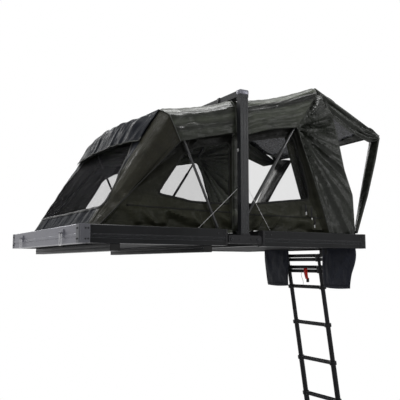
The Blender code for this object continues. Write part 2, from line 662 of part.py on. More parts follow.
FOLD_POINTS = canopy_points(1, (SUPPORT_HEAD[0] - 0.1823, SUPPORT_HEAD[1] - 0.2907), {
    "pole_shoulder": (SUPPORT_HEAD[0] + 0.0127, -POLE_Y - 0.025, SUPPORT_HEAD[1] - 0.0107),
    "pole_crown": (SUPPORT_HEAD[0] + 0.0427, -POLE_Y + 0.030, SUPPORT_HEAD[1] + 0.0343),
    "corner_side": (0.749, -WALL_Y, LEDGE_Z),
    "edge_low": (1.0, -POLE_Y - 0.025, LEDGE_Z),
    "rim_low": (1.0, -RIM_Y, LEDGE_Z),
    "edge_knee": (0.985, -POLE_Y - 0.025, 0.38),
    "edge_mid": (0.915, -POLE_Y - 0.020, 0.56),
    "edge_high": (0.87, -POLE_Y - 0.015, 0.76),
    "edge_top": (0.84, -POLE_Y, 0.93),
})
BASE_WINDOW = [(-0.06, 0.262), (-0.06, 0.655), (-0.30, 0.602), (-0.40, 0.545), (-0.446, 0.473), (-0.56, 0.30),
               (-0.34, 0.263)]
FOLD_WINDOW = [(0.075, 0.268), (0.075, 0.683), (0.239, 0.716), (0.442, 0.758), (0.468, 0.740), (0.512, 0.645),
               (0.545, 0.545), (0.612, 0.335)]
END_WINDOW_TOP = 0.23
END_WINDOW_FOOT = 0.86
END_WINDOW_TOP_INSET = 0.145
END_WINDOW_FOOT_INSET = 0.025
NET_RECESS = 0.0015
POLE_SLOT = 0.008
POLE_SLOT_SIDE = 0.005
HOOD_HALF = BASE_CROWN_Y - 0.045
HOOD_STATIONS = ((0.015, 0.0004), (0.06, 0.050), (0.16, 0.075), (0.24, 0.055))
AWNING_ROOT = (SUPPORT_HEAD[0] + 0.0431, -POLE_Y + 0.035, SUPPORT_HEAD[1] + 0.0336)
AWNING_TIP = (1.31, -POLE_Y, 0.870)
AWNING_HEM = (1.302, -POLE_Y - 0.002, 0.832)
AWNING_THROAT = (0.852, -POLE_Y + 0.002, 0.935)
AWNING_SAG = 0.03
AWNING_BOW = 0.06
STRUT_TOP = (1.296, -POLE_Y - 0.002, 0.822)
STRUT_FOOT = (1.012, -POLE_Y - 0.020, LEDGE_Z + 0.0005)
STRUT_TOP_WIDTH = 0.041
STRUT_FOOT_HALF = 0.012
STRUT_HALF_THICKNESS = 0.006


def window_recess(bm, outline):
    """Adds the cutters that thin both side walls to a net inside a window's outline."""
    for side, _ in SIDES:
        add_prism(bm, outline, 1, side * (WALL_IN_Y - NET_RECESS), side * HALF_WIDTH)


def pole_slots(bm, x, z, tilt, radius, low, high):
    """Adds the cutters that open the ledge, jamb and soffit around both legs of a swinging hoop."""
    angle = math.radians(tilt)
    along = Vector((math.sin(angle), math.cos(angle)))
    across = Vector((along.y, -along.x)) * (radius + POLE_SLOT)
    start, end = Vector((x, z)) + along * low, Vector((x, z)) + along * high
    outline = [tuple(point) for point in (start - across, start + across, end + across, end - across)]
    reach = radius + POLE_SLOT_SIDE
    for side, _ in SIDES:
        add_prism(bm, outline, 1, side * (POLE_Y - reach), side * (POLE_Y + reach))


def end_window_corners():
    """Returns the four corners of the end window on the sloping end wall."""
    crown = Vector(BASE_POINTS["pole_crown"])
    foot = Vector(BASE_POINTS["corner_end"])
    top = crown.lerp(foot, END_WINDOW_TOP)
    low = crown.lerp(foot, END_WINDOW_FOOT)
    top.y += END_WINDOW_TOP_INSET
    low.y += END_WINDOW_FOOT_INSET
    far_low, far_top = low.copy(), top.copy()
    far_low.y, far_top.y = -low.y, -top.y
    return [top, low, far_low, far_top]


def panel(bm, corners, thickness, lift):
    """Adds a flat panel of a thickness whose outer face lies a lift above the given corners."""
    normal = (corners[1] - corners[0]).cross(corners[3] - corners[0]).normalized()
    if normal.z < 0:
        normal = -normal
    outer = [bm.verts.new(point + normal * lift) for point in corners]
    inner = [bm.verts.new(point + normal * (lift - thickness)) for point in corners]
    bm.faces.new(outer)
    bm.faces.new(inner[::-1])
    for index in range(4):
        after = (index + 1) % 4
        bm.faces.new((outer[index], inner[index], inner[after], outer[after]))


def fabric(empties, pivots):
    """Builds the canopies of both halves and the spine, the window nets, the end hood and the awning."""
    base, spine_body, fold = empties["base"], empties["spine"], empties["fold"]
    walls = (("foot", "wall_corner", "wall_pole", "wall_eave"), ("eave_jamb", "wall_eave", "wall_pole", "pole_eave"),
             ("wall_corner", "corner_side", "pole_eave", "wall_pole"), ("foot", "jamb_foot", "eave_jamb", "wall_eave"),
             ("foot", "jamb_foot", "rim_foot", "rim_corner", "corner_side", "wall_corner"),
             ("eave", "eave_jamb", "pole_eave", "pole_shoulder", "shoulder"),
             ("shoulder", "pole_shoulder", "pole_crown", "crown"))
    canopy = skin("base_canopy", BASE_POINTS,
                  walls + (("corner_side", "corner_end", "pole_shoulder"), ("corner_side", "pole_shoulder", "pole_eave"),
                           ("corner_end", "pole_crown", "pole_shoulder"),
                           ("corner_side", "rim_corner", "rim_end", "corner_end")),
                  base, pivots["base"], (("crown", "pole_crown"), ("pole_crown", "corner_end"), ("corner_end", "rim_end")))
    cutter = bmesh.new()
    window_recess(cutter, BASE_WINDOW)
    panel(cutter, end_window_corners(), 0.02 + NET_RECESS, 0.02)
    pole_slots(cutter, BASE_POLE_X, BASE_POLE_Z, -BASE_POLE_TILT, POLE_RADIUS, -0.025, 0.60)
    boolean(canopy, add_cutter("base_window_cut", cutter, base, -pivots["base"]), "DIFFERENCE")

    canopy = skin("fold_canopy", FOLD_POINTS,
                  walls + (("corner_side", "pole_eave", "edge_mid", "edge_knee", "edge_low"),
                           ("pole_eave", "pole_shoulder", "edge_high", "edge_mid"),
                           ("pole_shoulder", "pole_crown", "edge_top", "edge_high"),
                           ("corner_side", "edge_low", "rim_low", "rim_corner")),
                  fold, pivots["fold"], (("crown", "pole_crown"),))
    cutter = bmesh.new()
    window_recess(cutter, FOLD_WINDOW)
    pole_slots(cutter, SUPPORT_POLE_X, SUPPORT_POLE_Z, SUPPORT_POLE_TILT, SUPPORT_TUBE_RADIUS, 0.015, 0.90)
    boolean(canopy, add_cutter("fold_window_cut", cutter, fold, -pivots["fold"]), "DIFFERENCE")

    band = SPINE_BAND_HALF
    bm = bmesh.new()
    outer = [(-WALL_Y, WALL_BOTTOM), (-WALL_Y, EAVE_Z), (-SHOULDER_Y, SHOULDER_Z), (-CROWN_Y, CROWN_Z)]
    outer += [(-y, z) for y, z in reversed(outer)]
    inner = [(-WALL_Y + CLOTH, WALL_BOTTOM), (-WALL_Y + CLOTH, EAVE_Z), (-SHOULDER_Y + CLOTH, SHOULDER_Z - 0.001),
             (-CROWN_Y + 0.001, CROWN_Z - CLOTH)]
    inner += [(-y, z) for y, z in reversed(inner)]
    add_prism(bm, outer + inner[::-1], 0, -band, band)
    add_object("spine_canopy", bm, "canvas", spine_body, -pivots["spine"])

    bm = bmesh.new()
    crown = Vector(BASE_POINTS["pole_crown"])
    foot = Vector(BASE_POINTS["corner_end"])
    slope = foot - crown
    rows = []
    for share, lift in HOOD_STATIONS:
        row = []
        for across in (-1.0, -0.5, 0.0, 0.5, 1.0):
            point = crown + slope * share
            row.append(bm.verts.new((point.x - lift * 0.8, HOOD_HALF * across, point.z + lift * 0.6)))
        rows.append(row)
    for one, two in zip(rows, rows[1:]):
        for index in range(len(one) - 1):
            bm.faces.new((one[index], one[index + 1], two[index + 1], two[index]))
    hood = add_object("end_hood", bm, "canvas", base, -pivots["base"])
    thick = hood.modifiers.new("cloth", "SOLIDIFY")
    thick.thickness = CLOTH
    thick.offset = 1.0

    awning(fold, pivots["fold"])


def awning(parent, pivot):
    """Builds the awning over the doorway, with its side flaps and the sleeved struts at its corners."""
    bm = bmesh.new()
    stations = (0.0, 0.25, 0.5, 0.75, 1.0)
    root, tip = Vector(AWNING_ROOT), Vector(AWNING_TIP)
    rows = []
    for share in stations:
        row = []
        edge = root.lerp(tip, share)
        for across in (-1.0, -0.5, 0.0, 0.5, 1.0):
            droop = AWNING_SAG * (1 - across * across) * share
            row.append(bm.verts.new((edge.x - AWNING_BOW * share * (1 - across * across), -edge.y * across, edge.z - droop)))
        rows.append(row)
    for one, two in zip(rows, rows[1:]):
        for index in range(len(one) - 1):
            bm.faces.new((one[index], one[index + 1], two[index + 1], two[index]))
    throat, hem = Vector(AWNING_THROAT), Vector(AWNING_HEM)
    for side, column in ((-1, 0), (1, -1)):
        low_row = [throat.lerp(hem, share) for share in (0.0, 0.33, 0.66, 1.0)]
        low = [bm.verts.new((point.x, side * abs(point.y), point.z)) for point in low_row]
        high = [row[column] for row in rows]
        for index in range(1, 4):
            bm.faces.new((high[index], high[index + 1], low[index], low[index - 1]))
        bm.faces.new((high[0], high[1], low[0]))
    item = add_object("awning", bm, "canvas", parent, -pivot)
    thick = item.modifiers.new("cloth", "SOLIDIFY")
    thick.thickness = CLOTH
    thick.offset = 0.0

    for side, side_name in SIDES:
        bm = bmesh.new()
        top = Vector((STRUT_TOP[0], -side * STRUT_TOP[1], STRUT_TOP[2]))
        foot = Vector((STRUT_FOOT[0], -side * STRUT_FOOT[1], STRUT_FOOT[2]))
        outline = [(top.x + 0.006 - STRUT_TOP_WIDTH, top.z), (top.x + 0.006, top.z),
                   (foot.x + STRUT_FOOT_HALF, foot.z), (foot.x - STRUT_FOOT_HALF, foot.z)]
        vertices = []
        for y_shift in (-STRUT_HALF_THICKNESS, STRUT_HALF_THICKNESS):
            for index, (x, z) in enumerate(outline):
                y = (top.y if index < 2 else foot.y) + y_shift
                vertices.append(bm.verts.new((x, y, z)))
        bm.faces.new(vertices[:4])
        bm.faces.new(vertices[4:][::-1])
        for index in range(4):
            after = (index + 1) % 4
            bm.faces.new((vertices[index], vertices[index + 4], vertices[after + 4], vertices[after]))
        add_object("awning_strut_" + side_name, bm, "canvas", parent, -pivot)


def ladder(fold_empty, fold_pivot, sections):
    """Builds the brackets under the end of the fold-out half and the nine telescopic ladder sections."""
    bm = bmesh.new()
    ear_y = LADDER_HALF_SPACING + LADDER_EAR_OFFSET
    plate_reach = ear_y + LADDER_EAR / 2
    add_box(bm, (LADDER_X - 0.022, LADDER_Y - plate_reach, -SEAT_GAP - LADDER_PLATE),
            (LADDER_X + 0.022, LADDER_Y + plate_reach, -SEAT_GAP))
    bracket = add_object("ladder_bracket", bm, "steel", fold_empty, -fold_pivot)
    ears, bores = bmesh.new(), bmesh.new()
    for side, _ in SIDES:
        y = LADDER_Y + side * ear_y
        outline = [(LADDER_X - 0.018, -SEAT_GAP - LADDER_PLATE / 2), (LADDER_X + 0.018, -SEAT_GAP - LADDER_PLATE / 2),
                   (LADDER_X + 0.016, LADDER_Z)]
        for step in range(1, 6):
            angle = math.radians(180 * step / 6)
            outline.append((LADDER_X + 0.016 * math.cos(angle), LADDER_Z - 0.012 * math.sin(angle)))
        outline.append((LADDER_X - 0.016, LADDER_Z))
        add_prism(ears, outline, 1, y - LADDER_EAR / 2, y + LADDER_EAR / 2)
        add_rod(bores, (LADDER_X, y - 0.01, LADDER_Z), (LADDER_X, y + 0.01, LADDER_Z), LADDER_PIN + PIN_CLEARANCE)
    boolean(bracket, add_cutter("ladder_ears", ears, fold_empty, -fold_pivot), "UNION")
    boolean(bracket, add_cutter("ladder_bracket_bores", bores, fold_empty, -fold_pivot), "DIFFERENCE")

    count = len(RUNG_STATIONS)
    for index, station in enumerate(RUNG_STATIONS):
        radius = BOTTOM_TUBE_RADIUS - TUBE_STEP * (count - 1 - index)
        name = "ladder_section_%d" % (index + 1)
        length = RUNG_PITCH + TUBE_OVERLAP
        parent = sections[index]
        bm = bmesh.new()
        head = COLLAR_HEIGHT / 2
        for side in (-1, 1):
            y = side * LADDER_HALF_SPACING
            add_rod(bm, (0.0, y, -length), (0.0, y, head - 0.002), radius, TUBE_SIDES)
        section = add_object(name, bm, "black_aluminium", parent, smooth=True)
        collars = bmesh.new()
        for side in (-1, 1):
            y = side * LADDER_HALF_SPACING
            add_rod(collars, (0.0, y, -head), (0.0, y, head), BOTTOM_TUBE_RADIUS + COLLAR_PROUD, TUBE_SIDES)
        boolean(section, add_cutter(name + "_collars", collars, parent), "UNION")
        tread = bmesh.new()
        reach = LADDER_HALF_SPACING - 0.010
        outline = rounded_outline((-RUNG_DEPTH / 2, -RUNG_HEIGHT / 2), (RUNG_DEPTH / 2, RUNG_HEIGHT / 2), 0.005, 2)
        add_prism(tread, outline, 1, -reach, reach)
        boolean(section, add_cutter(name + "_tread", tread, parent), "UNION")
        if index == count - 1:
            feet = bmesh.new()
            for side, _ in SIDES:
                y = side * LADDER_HALF_SPACING
                add_box(feet, (-0.030, y - 0.026, -length - 0.022), (0.030, y + 0.026, -length + 0.012))
            boolean(section, add_cutter("ladder_feet", feet, parent), "UNION")
        if index == 0:
            pins = bmesh.new()
            for side in (-1, 1):
                y = side * LADDER_HALF_SPACING
                add_rod(pins, (0.0, y + side * 0.020, 0.0), (0.0, y + side * (LADDER_EAR_OFFSET + 0.004), 0.0), LADDER_PIN)
            boolean(section, add_cutter(name + "_pins", pins, parent), "UNION")
        bores = bmesh.new()
        for side in (-1, 1):
            y = side * LADDER_HALF_SPACING
            top = head + 0.01 if index else -head
            add_rod(bores, (0.0, y, -length - 0.01), (0.0, y, top), radius - TUBE_WALL, TUBE_SIDES)
        boolean(section, add_cutter(name + "_bores", bores, parent), "DIFFERENCE")


def boot_bags(parent, pivot):
    """Builds the two cloth bags that hang under the end of the fold-out half."""
    spans = {"boot_bag_near": ((-0.9929, -0.5143), (-0.90, -0.5229)), "boot_bag_far": ((0.0429, 0.4857), (0.0514, 0.4214))}
    for name, shares in spans.items():
        (top_a, top_b), (low_a, low_b) = [[share * HALF_WIDTH for share in pair] for pair in shares]
        bm = bmesh.new()
        head = RAIL_BOTTOM_FLANGE
        shoulder = max(top_a, -HALF_WIDTH + RAIL_BOTTOM_REACH + SEAT_GAP)
        outline = [(shoulder, head), (top_b, head), (top_b, -SEAT_GAP), (low_b, -BAG_DROP), (low_a, -BAG_DROP),
                   (top_a, -SEAT_GAP), (shoulder, -SEAT_GAP)]
        if shoulder == top_a:
            outline.pop()
        add_prism(bm, outline, 0, BAG_X - BAG_THICKNESS / 2, BAG_X + BAG_THICKNESS / 2)
        add_object(name, bm, "bag_cloth", parent, -pivot)


def latches(pivots):
    """Builds the wire bails that swing on the latches of the outer end rail."""
    half = BAIL_WIDTH / 2
    axle = half + BAIL_RADIUS + LATCH_EAR
    path = [(-axle, 0.0), (-half, 0.0), (-half, -BAIL_LENGTH), (half, -BAIL_LENGTH), (half, 0.0), (axle, 0.0)]
    for name in ("latch_near", "latch_far"):
        bm = bmesh.new()
        add_tube_path(bm, path, BAIL_RADIUS, 8)
        add_object(name, bm, "steel", pivots[name])


def main():
    """Builds the tent."""
    clear_scene()
    tent = make_empty("tent_frame", TENT_ORIGIN)
    pivots = {"base": Vector((0.0, 0.0, 0.0)), "spine": Vector((-HINGE_X, 0.0, HINGE_Z)),
              "fold": Vector((HINGE_X, 0.0, HINGE_Z))}
    empties = {"base": tent, "spine": make_empty("spine_hinge", pivots["spine"], tent),
               "fold": make_empty("fold_hinge", pivots["fold"], tent)}
    shell("base", -1, empties["base"], pivots["base"])
    shell("fold", 1, empties["fold"], pivots["fold"])
    mounting_rails(tent)
    spine(empties["spine"], pivots["spine"])
    base_pivot = make_empty("base_pole_hinge", (BASE_POLE_X, 0.0, BASE_POLE_Z), tent, -BASE_POLE_TILT)
    base_pole(base_pivot)
    support_pivot = make_empty("support_pole_hinge", (SUPPORT_POLE_X, 0.0, SUPPORT_POLE_Z), tent, SUPPORT_POLE_TILT)
    support_poles(support_pivot, support_pivot)
    fabric(empties, pivots)
    swing = make_empty("ladder_hinge", (LADDER_X, LADDER_Y, LADDER_Z), tent, -LADDER_LEAN)
    sections = [make_empty("ladder_slide_%d" % (index + 1), (0.0, 0.0, -station), swing)
                for index, station in enumerate(RUNG_STATIONS)]
    ladder(empties["fold"], pivots["fold"], sections)
    boot_bags(empties["fold"], pivots["fold"])
    face = -HALF_LENGTH - RIDGE_PROUD - LATCH_STAND_OFF
    bails = {name: make_empty(name + "_hinge", (face, y, LATCH_Z), tent, 0.0)
             for name, y in zip(("latch_near", "latch_far"), LATCH_STATIONS)}
    latches(bails)


main()
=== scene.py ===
"""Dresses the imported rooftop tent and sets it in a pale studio.

Metres throughout. Points are written in tent coordinates, as in the part's source: x from the middle of the
spine towards the ladder, y across the tent, z up from the underside of the shells. Datum turns them into the
frame's coordinates when a piece is finished.
"""
import logging
import math
from dataclasses import dataclass
from enum import Enum
from typing import Callable, Iterable, Sequence

import bmesh
import bpy
from mathutils import Matrix, Vector, noise
from mathutils.bvhtree import BVHTree


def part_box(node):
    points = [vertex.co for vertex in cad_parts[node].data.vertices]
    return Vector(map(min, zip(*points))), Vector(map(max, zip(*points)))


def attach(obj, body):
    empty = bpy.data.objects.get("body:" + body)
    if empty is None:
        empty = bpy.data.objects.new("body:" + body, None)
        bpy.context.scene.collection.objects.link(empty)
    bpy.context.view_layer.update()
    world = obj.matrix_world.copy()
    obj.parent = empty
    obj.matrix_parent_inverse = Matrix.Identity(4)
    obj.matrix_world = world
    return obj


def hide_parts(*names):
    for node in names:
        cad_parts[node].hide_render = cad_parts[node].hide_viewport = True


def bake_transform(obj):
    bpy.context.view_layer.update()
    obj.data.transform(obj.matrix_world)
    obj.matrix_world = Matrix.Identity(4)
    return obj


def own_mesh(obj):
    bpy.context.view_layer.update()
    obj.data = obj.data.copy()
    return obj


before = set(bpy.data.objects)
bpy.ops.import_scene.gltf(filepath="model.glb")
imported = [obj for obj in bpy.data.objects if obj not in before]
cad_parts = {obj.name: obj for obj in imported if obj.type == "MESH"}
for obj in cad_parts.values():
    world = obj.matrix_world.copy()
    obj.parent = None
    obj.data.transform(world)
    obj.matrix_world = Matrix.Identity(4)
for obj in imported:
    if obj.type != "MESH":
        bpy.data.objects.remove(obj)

log = logging.getLogger("rooftop_tent")

Point = tuple[float, float, float]
Flat = tuple[float, float]
Place = Callable[[float, float], Vector]
Fold = Callable[[Vector, float, float], float]
Socket = bpy.types.NodeSocket
Finish = bpy.types.Material
Piece = bpy.types.Object
Mesh = bmesh.types.BMesh

CLOTH = 0.0022
NETTING = 0.0008
SEAM_GAP = 0.004


class Side(Enum):
    """The two long sides of the tent."""

    NEAR = -1
    FAR = 1

    @property
    def word(self) -> str:
        """The side's name, as the CAD nodes end with."""
        return self.name.lower()


@dataclass(frozen=True)
class Datum:
    """Where the tent's own coordinates lie in the frame."""

    x: float
    z: float

    @classmethod
    def measured(cls) -> "Datum":
        """Reads the datum from the spine beam and the base shell."""
        low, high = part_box("spine_beam")
        return cls((low.x + high.x) / 2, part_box("base_side_rail_near")[0].z)

    def world(self, point: Iterable[float]) -> Vector:
        """Turns a tent point into a frame point."""
        x, y, z = point
        return Vector((x + self.x, y, z + self.z))

    def shift(self) -> Matrix:
        """The matrix that carries a tent mesh into the frame."""
        return Matrix.Translation((self.x, 0.0, self.z))


DATUM = Datum.measured()


# Materials


class Shader:
    """One material's node tree, with short ways to add and join nodes."""

    def __init__(self, name: str) -> None:
        """Starts an empty tree with a Principled shader.

        Args:
            name: the material's name.
        """
        self.material = bpy.data.materials.new(name)
        self.material.use_nodes = True
        self.tree = self.material.node_tree
        self.tree.nodes.clear()
        self.output = self.tree.nodes.new("ShaderNodeOutputMaterial")
        self.surface = self.tree.nodes.new("ShaderNodeBsdfPrincipled")
        self.join(self.surface.outputs["BSDF"], self.output.inputs["Surface"])

    def node(self, kind: str, settings: dict | None = None, **inputs: object) -> bpy.types.Node:
        """Adds a node.

        Args:
            kind: the node's type without the ShaderNode prefix.
            settings: attributes to set on the node.
            inputs: values of its sockets, with underscores for spaces.

        Returns:
            The node.
        """
        made = self.tree.nodes.new("ShaderNode" + kind)
        for key, value in (settings or {}).items():
            setattr(made, key, value)
        for key, value in inputs.items():
            made.inputs[key.replace("_", " ")].default_value = value
        return made

    def join(self, start: Socket, end: Socket) -> None:
        """Links two sockets."""
        self.tree.links.new(start, end)

    def set(self, **values: object) -> None:
        """Sets constant values on the Principled shader."""
        for key, value in values.items():
            self.surface.inputs[key.replace("_", " ")].default_value = value

    def feed(self, socket: Socket, value: object) -> None:
        """Joins a socket to an input, or gives the input a number or an RGB colour."""
        if isinstance(value, Socket):
            self.join(value, socket)
        else:
            socket.default_value = (*value, 1.0) if isinstance(value, tuple) else value

    def place(self, scale: Point = (1.0, 1.0, 1.0), source: str = "Object") -> Socket:
        """Gives stretched texture coordinates.

        Args:
            scale: the stretch along each axis.
            source: Object or UV.

        Returns:
            The vector socket.
        """
        coordinates = self.node("TexCoord")
        mapping = self.node("Mapping", Scale=scale)
        self.join(coordinates.outputs[source], mapping.inputs["Vector"])
        return mapping.outputs["Vector"]

    def noise(self, scale: float, detail: float = 3.0, vector: Socket | None = None,
              rough: float = 0.5, distortion: float = 0.0) -> Socket:
        """Adds a noise texture.

        Args:
            scale: cells per metre.
            detail: octaves.
            vector: coordinates, or None for plain object ones.
            rough: weight of the fine octaves.
            distortion: how far the cells are swirled.

        Returns:
            The factor socket.
        """
        texture = self.node("TexNoise", Scale=scale, Detail=detail, Roughness=rough, Distortion=distortion)
        self.join(vector or self.place(), texture.inputs["Vector"])
        return texture.outputs[0]

    def ramp(self, factor: Socket, stops: Sequence[tuple[float, Sequence[float]]]) -> Socket:
        """Maps a factor to colours.

        Args:
            factor: the value from 0 to 1.
            stops: positions and RGB colours, at least two.

        Returns:
            The colour socket.
        """
        made = self.node("ValToRGB")
        while len(made.color_ramp.elements) < len(stops):
            made.color_ramp.elements.new(0.5)
        for element, (position, colour) in zip(made.color_ramp.elements, stops):
            element.position = position
            element.color = (*colour, 1.0)
        self.join(factor, made.inputs["Fac"])
        return made.outputs["Color"]

    def span(self, factor: Socket, low: float, high: float, start: float = 0.0,
             end: float = 1.0) -> Socket:
        """Maps a factor from start..end to low..high, clamped.

        Args:
            factor: the value.
            low: what start becomes.
            high: what end becomes.
            start: the factor's lower end.
            end: its upper end.

        Returns:
            The result socket.
        """
        made = self.node("MapRange")
        for key, value in (("From Min", start), ("From Max", end), ("To Min", low), ("To Max", high)):
            made.inputs[key].default_value = value
        self.join(factor, made.inputs["Value"])
        return made.outputs["Result"]

    def mix(self, factor: Socket, one: object, two: object) -> Socket:
        """Mixes two colours, each a socket or an RGB colour.

        Args:
            factor: share of the second.
            one: the first.
            two: the second.

        Returns:
            The colour socket.
        """
        made = self.node("Mix", {"data_type": "RGBA"})
        self.join(factor, made.inputs[0])
        self.feed(made.inputs[6], one)
        self.feed(made.inputs[7], two)
        return made.outputs[2]

    def math(self, operation: str, one: object, two: object = 0.0) -> Socket:
        """Works out a value from two sockets or numbers.

        Args:
            operation: the node's operation.
            one: the first.
            two: the second.

        Returns:
            The value socket.
        """
        made = self.node("Math", {"operation": operation})
        self.feed(made.inputs[0], one)
        self.feed(made.inputs[1], two)
        return made.outputs[0]

    def ridge(self, wave: Socket) -> Socket:
        """Turns a noise into sharp ridges, 1 on their crests."""
        return self.math("SUBTRACT", 1.0, self.math("ABSOLUTE", self.math("SUBTRACT", wave, 0.5)))

    def bump(self, height: Socket, depth: float, strength: float = 1.0,
             after: Socket | None = None) -> Socket:
        """Turns a height into a bent normal.

        Args:
            height: the height socket.
            depth: metres for one unit of height.
            strength: share of the bump.
            after: the normal that it adds to.

        Returns:
            The normal socket.
        """
        made = self.node("Bump", Strength=strength, Distance=depth)
        self.join(height, made.inputs["Height"])
        if after:
            self.join(after, made.inputs["Normal"])
        return made.outputs["Normal"]

    def worn_edges(self, radius: float) -> tuple[Socket, Socket]:
        """Rounds sharp edges in shading.

        Args:
            radius: the rounding in metres.

        Returns:
            The rounded normal, and a mask that is 1 on the edges.
        """
        rounded = self.node("Bevel", {"samples": 4}, Radius=radius)
        flat = self.node("NewGeometry")
        dot = self.node("VectorMath", {"operation": "DOT_PRODUCT"})
        self.join(rounded.outputs["Normal"], dot.inputs[0])
        self.join(flat.outputs["Normal"], dot.inputs[1])
        return rounded.outputs["Normal"], self.span(dot.outputs["Value"], 1.0, 0.0, 0.8, 0.985)

    def finish(self, colour: Socket, roughness: Socket | float, normal: Socket | None = None) -> Finish:
        """Joins the last sockets to the shader and returns the material.

        Args:
            colour: the base colour.
            roughness: a socket or a number.
            normal: the bent normal, or None.

        Returns:
            The material.
        """
        self.join(colour, self.surface.inputs["Base Color"])
        self.feed(self.surface.inputs["Roughness"], roughness)
        if normal:
            self.join(normal, self.surface.inputs["Normal"])
        return self.material


@dataclass(frozen=True)
class Canvas:
    """Coated tent canvas: a fine weave, soft creases, a faint sheen and dusty patches.

    gloss is the specular level, wrinkle the pulled creases for each metre along and across, deep their depth, and the
    bands of painted shade and painted highlight say how much darker or paler the cloth is painted at shares of a metre
    up it, or in from both its ends where girth says how long it is.
    """

    name: str
    dark: Point = (0.0085, 0.0092, 0.0078)
    light: Point = (0.022, 0.024, 0.019)
    roughness: float = 0.34
    crease: float = 0.006
    gloss: float = 0.26
    wrinkle: Flat = (34.0, 6.0)
    deep: float = 0.005
    painted_light_bands: Sequence[Flat] = ()
    girth: float = 0.0
    thread: float = 0.0009

    def build(self) -> Finish:
        """Makes the material."""
        shader = Shader(self.name)
        patches = shader.noise(3.2, 4.0, rough=0.6)
        rubbed = shader.noise(21.0, 6.0, rough=0.65)
        weave_place = shader.place(source="UV")
        threads = []
        for direction in ("X", "Y"):
            wave = shader.node("TexWave", {"bands_direction": direction, "wave_profile": "SIN"},
                               Scale=1.0 / self.thread / 20.0, Distortion=0.6, Detail=1.0)
            shader.join(weave_place, wave.inputs["Vector"])
            threads.append(wave.outputs["Fac"])
        weave = shader.math("MULTIPLY", threads[0], threads[1])
        blend = shader.math("MULTIPLY", patches, rubbed)
        colour = shader.ramp(blend, ((0.12, self.dark), (0.42, self.light)))
        # The threads are painted paler: partly the weave's own pattern, partly a painted highlight on each thread.
        colour = shader.mix(shader.span(weave, 0.0, 0.22), colour, tuple(c * 1.5 for c in self.light))
        # Painted light: the bands multiply the colour with painted shade and painted highlight along the cloth.
        if self.painted_light_bands:
            height = shader.node("SeparateXYZ")
            shader.join(weave_place, height.inputs[0])
            place = shader.math("PINGPONG", height.outputs["X"], self.girth / 2) if self.girth else height.outputs["Y"]
            light_band_factor = shader.ramp(place, [(at, (value, value, value)) for at, value in self.painted_light_bands])
            shaded = shader.node("VectorMath", {"operation": "MULTIPLY"})
            shader.join(colour, shaded.inputs[0])
            shader.join(light_band_factor, shaded.inputs[1])
            colour = shaded.outputs["Vector"]
        roughness = shader.span(rubbed, self.roughness - 0.07, self.roughness + 0.1, 0.3, 0.7)
        crumpled = shader.noise(17.0, 5.0, rough=0.62, distortion=1.1)
        normal = shader.bump(shader.ridge(crumpled), self.crease, 0.75)
        pulled = shader.noise(1.0, 3.0, shader.place((*self.wrinkle, 1.0), "UV"), 0.55, 0.5)
        normal = shader.bump(shader.ridge(pulled), self.deep, 0.8, normal)
        normal = shader.bump(shader.noise(60.0, 3.0, distortion=0.4), 0.0012, 0.5, normal)
        normal = shader.bump(weave, 0.00025, 0.5, normal)
        shader.set(Sheen_Weight=0.03, Sheen_Roughness=0.45, Sheen_Tint=(0.78, 0.8, 0.72, 1.0),
                   Specular_IOR_Level=self.gloss)
        return shader.finish(colour, roughness, normal)


@dataclass(frozen=True)
class Net:
    """Insect net: a dark film that lets most of the light through, with its threads as colour."""

    name: str = "window_net"
    alpha: float = 0.13

    def build(self) -> Finish:
        """Makes the material."""
        shader = Shader(self.name)
        grid = shader.node("TexBrick", {"offset": 0.0}, Scale=450.0, Mortar_Size=0.012, Brick_Width=1.0,
                           Row_Height=1.0)
        shader.join(shader.place(source="UV"), grid.inputs["Vector"])
        colour = shader.mix(grid.outputs["Fac"], (0.01, 0.01, 0.014), (0.026, 0.026, 0.036))
        normal = shader.bump(grid.outputs["Fac"], 0.0003, 0.6)
        shader.set(Alpha=self.alpha, Specular_IOR_Level=0.08)
        return shader.finish(colour, 0.7, normal)


@dataclass(frozen=True)
class Coat:
    """Powder-coated or anodised aluminium with a fine grain and paler, worn edges."""

    name: str
    dark: Point = (0.0035, 0.0038, 0.0045)
    light: Point = (0.008, 0.0085, 0.0095)
    edge: Point = (0.17, 0.175, 0.19)
    roughness: float = 0.32
    metal: float = 0.0
    gloss: float = 0.12
    grain: float = 900.0
    brushed: bool = False

    def build(self) -> Finish:
        """Makes the material."""
        shader = Shader(self.name)
        place = shader.place((6.0, 6.0, 240.0)) if self.brushed else shader.place()
        patches = shader.noise(5.0, 5.0, rough=0.6)
        grain = shader.noise(8.0 if self.brushed else self.grain, 2.0, place)
        rounded, edges = shader.worn_edges(0.0024)
        broken = shader.math("MULTIPLY", edges, shader.span(shader.noise(70.0, 4.0), 0.45, 1.0, 0.35, 0.7))
        colour = shader.ramp(patches, ((0.35, self.dark), (0.68, self.light)))
        colour = shader.mix(broken, colour, self.edge)
        roughness = shader.span(patches, self.roughness - 0.05, self.roughness + 0.08, 0.3, 0.7)
        normal = shader.bump(grain, 0.00018, 0.35, rounded)
        shader.set(Metallic=self.metal, Specular_IOR_Level=self.gloss)
        return shader.finish(colour, roughness, normal)


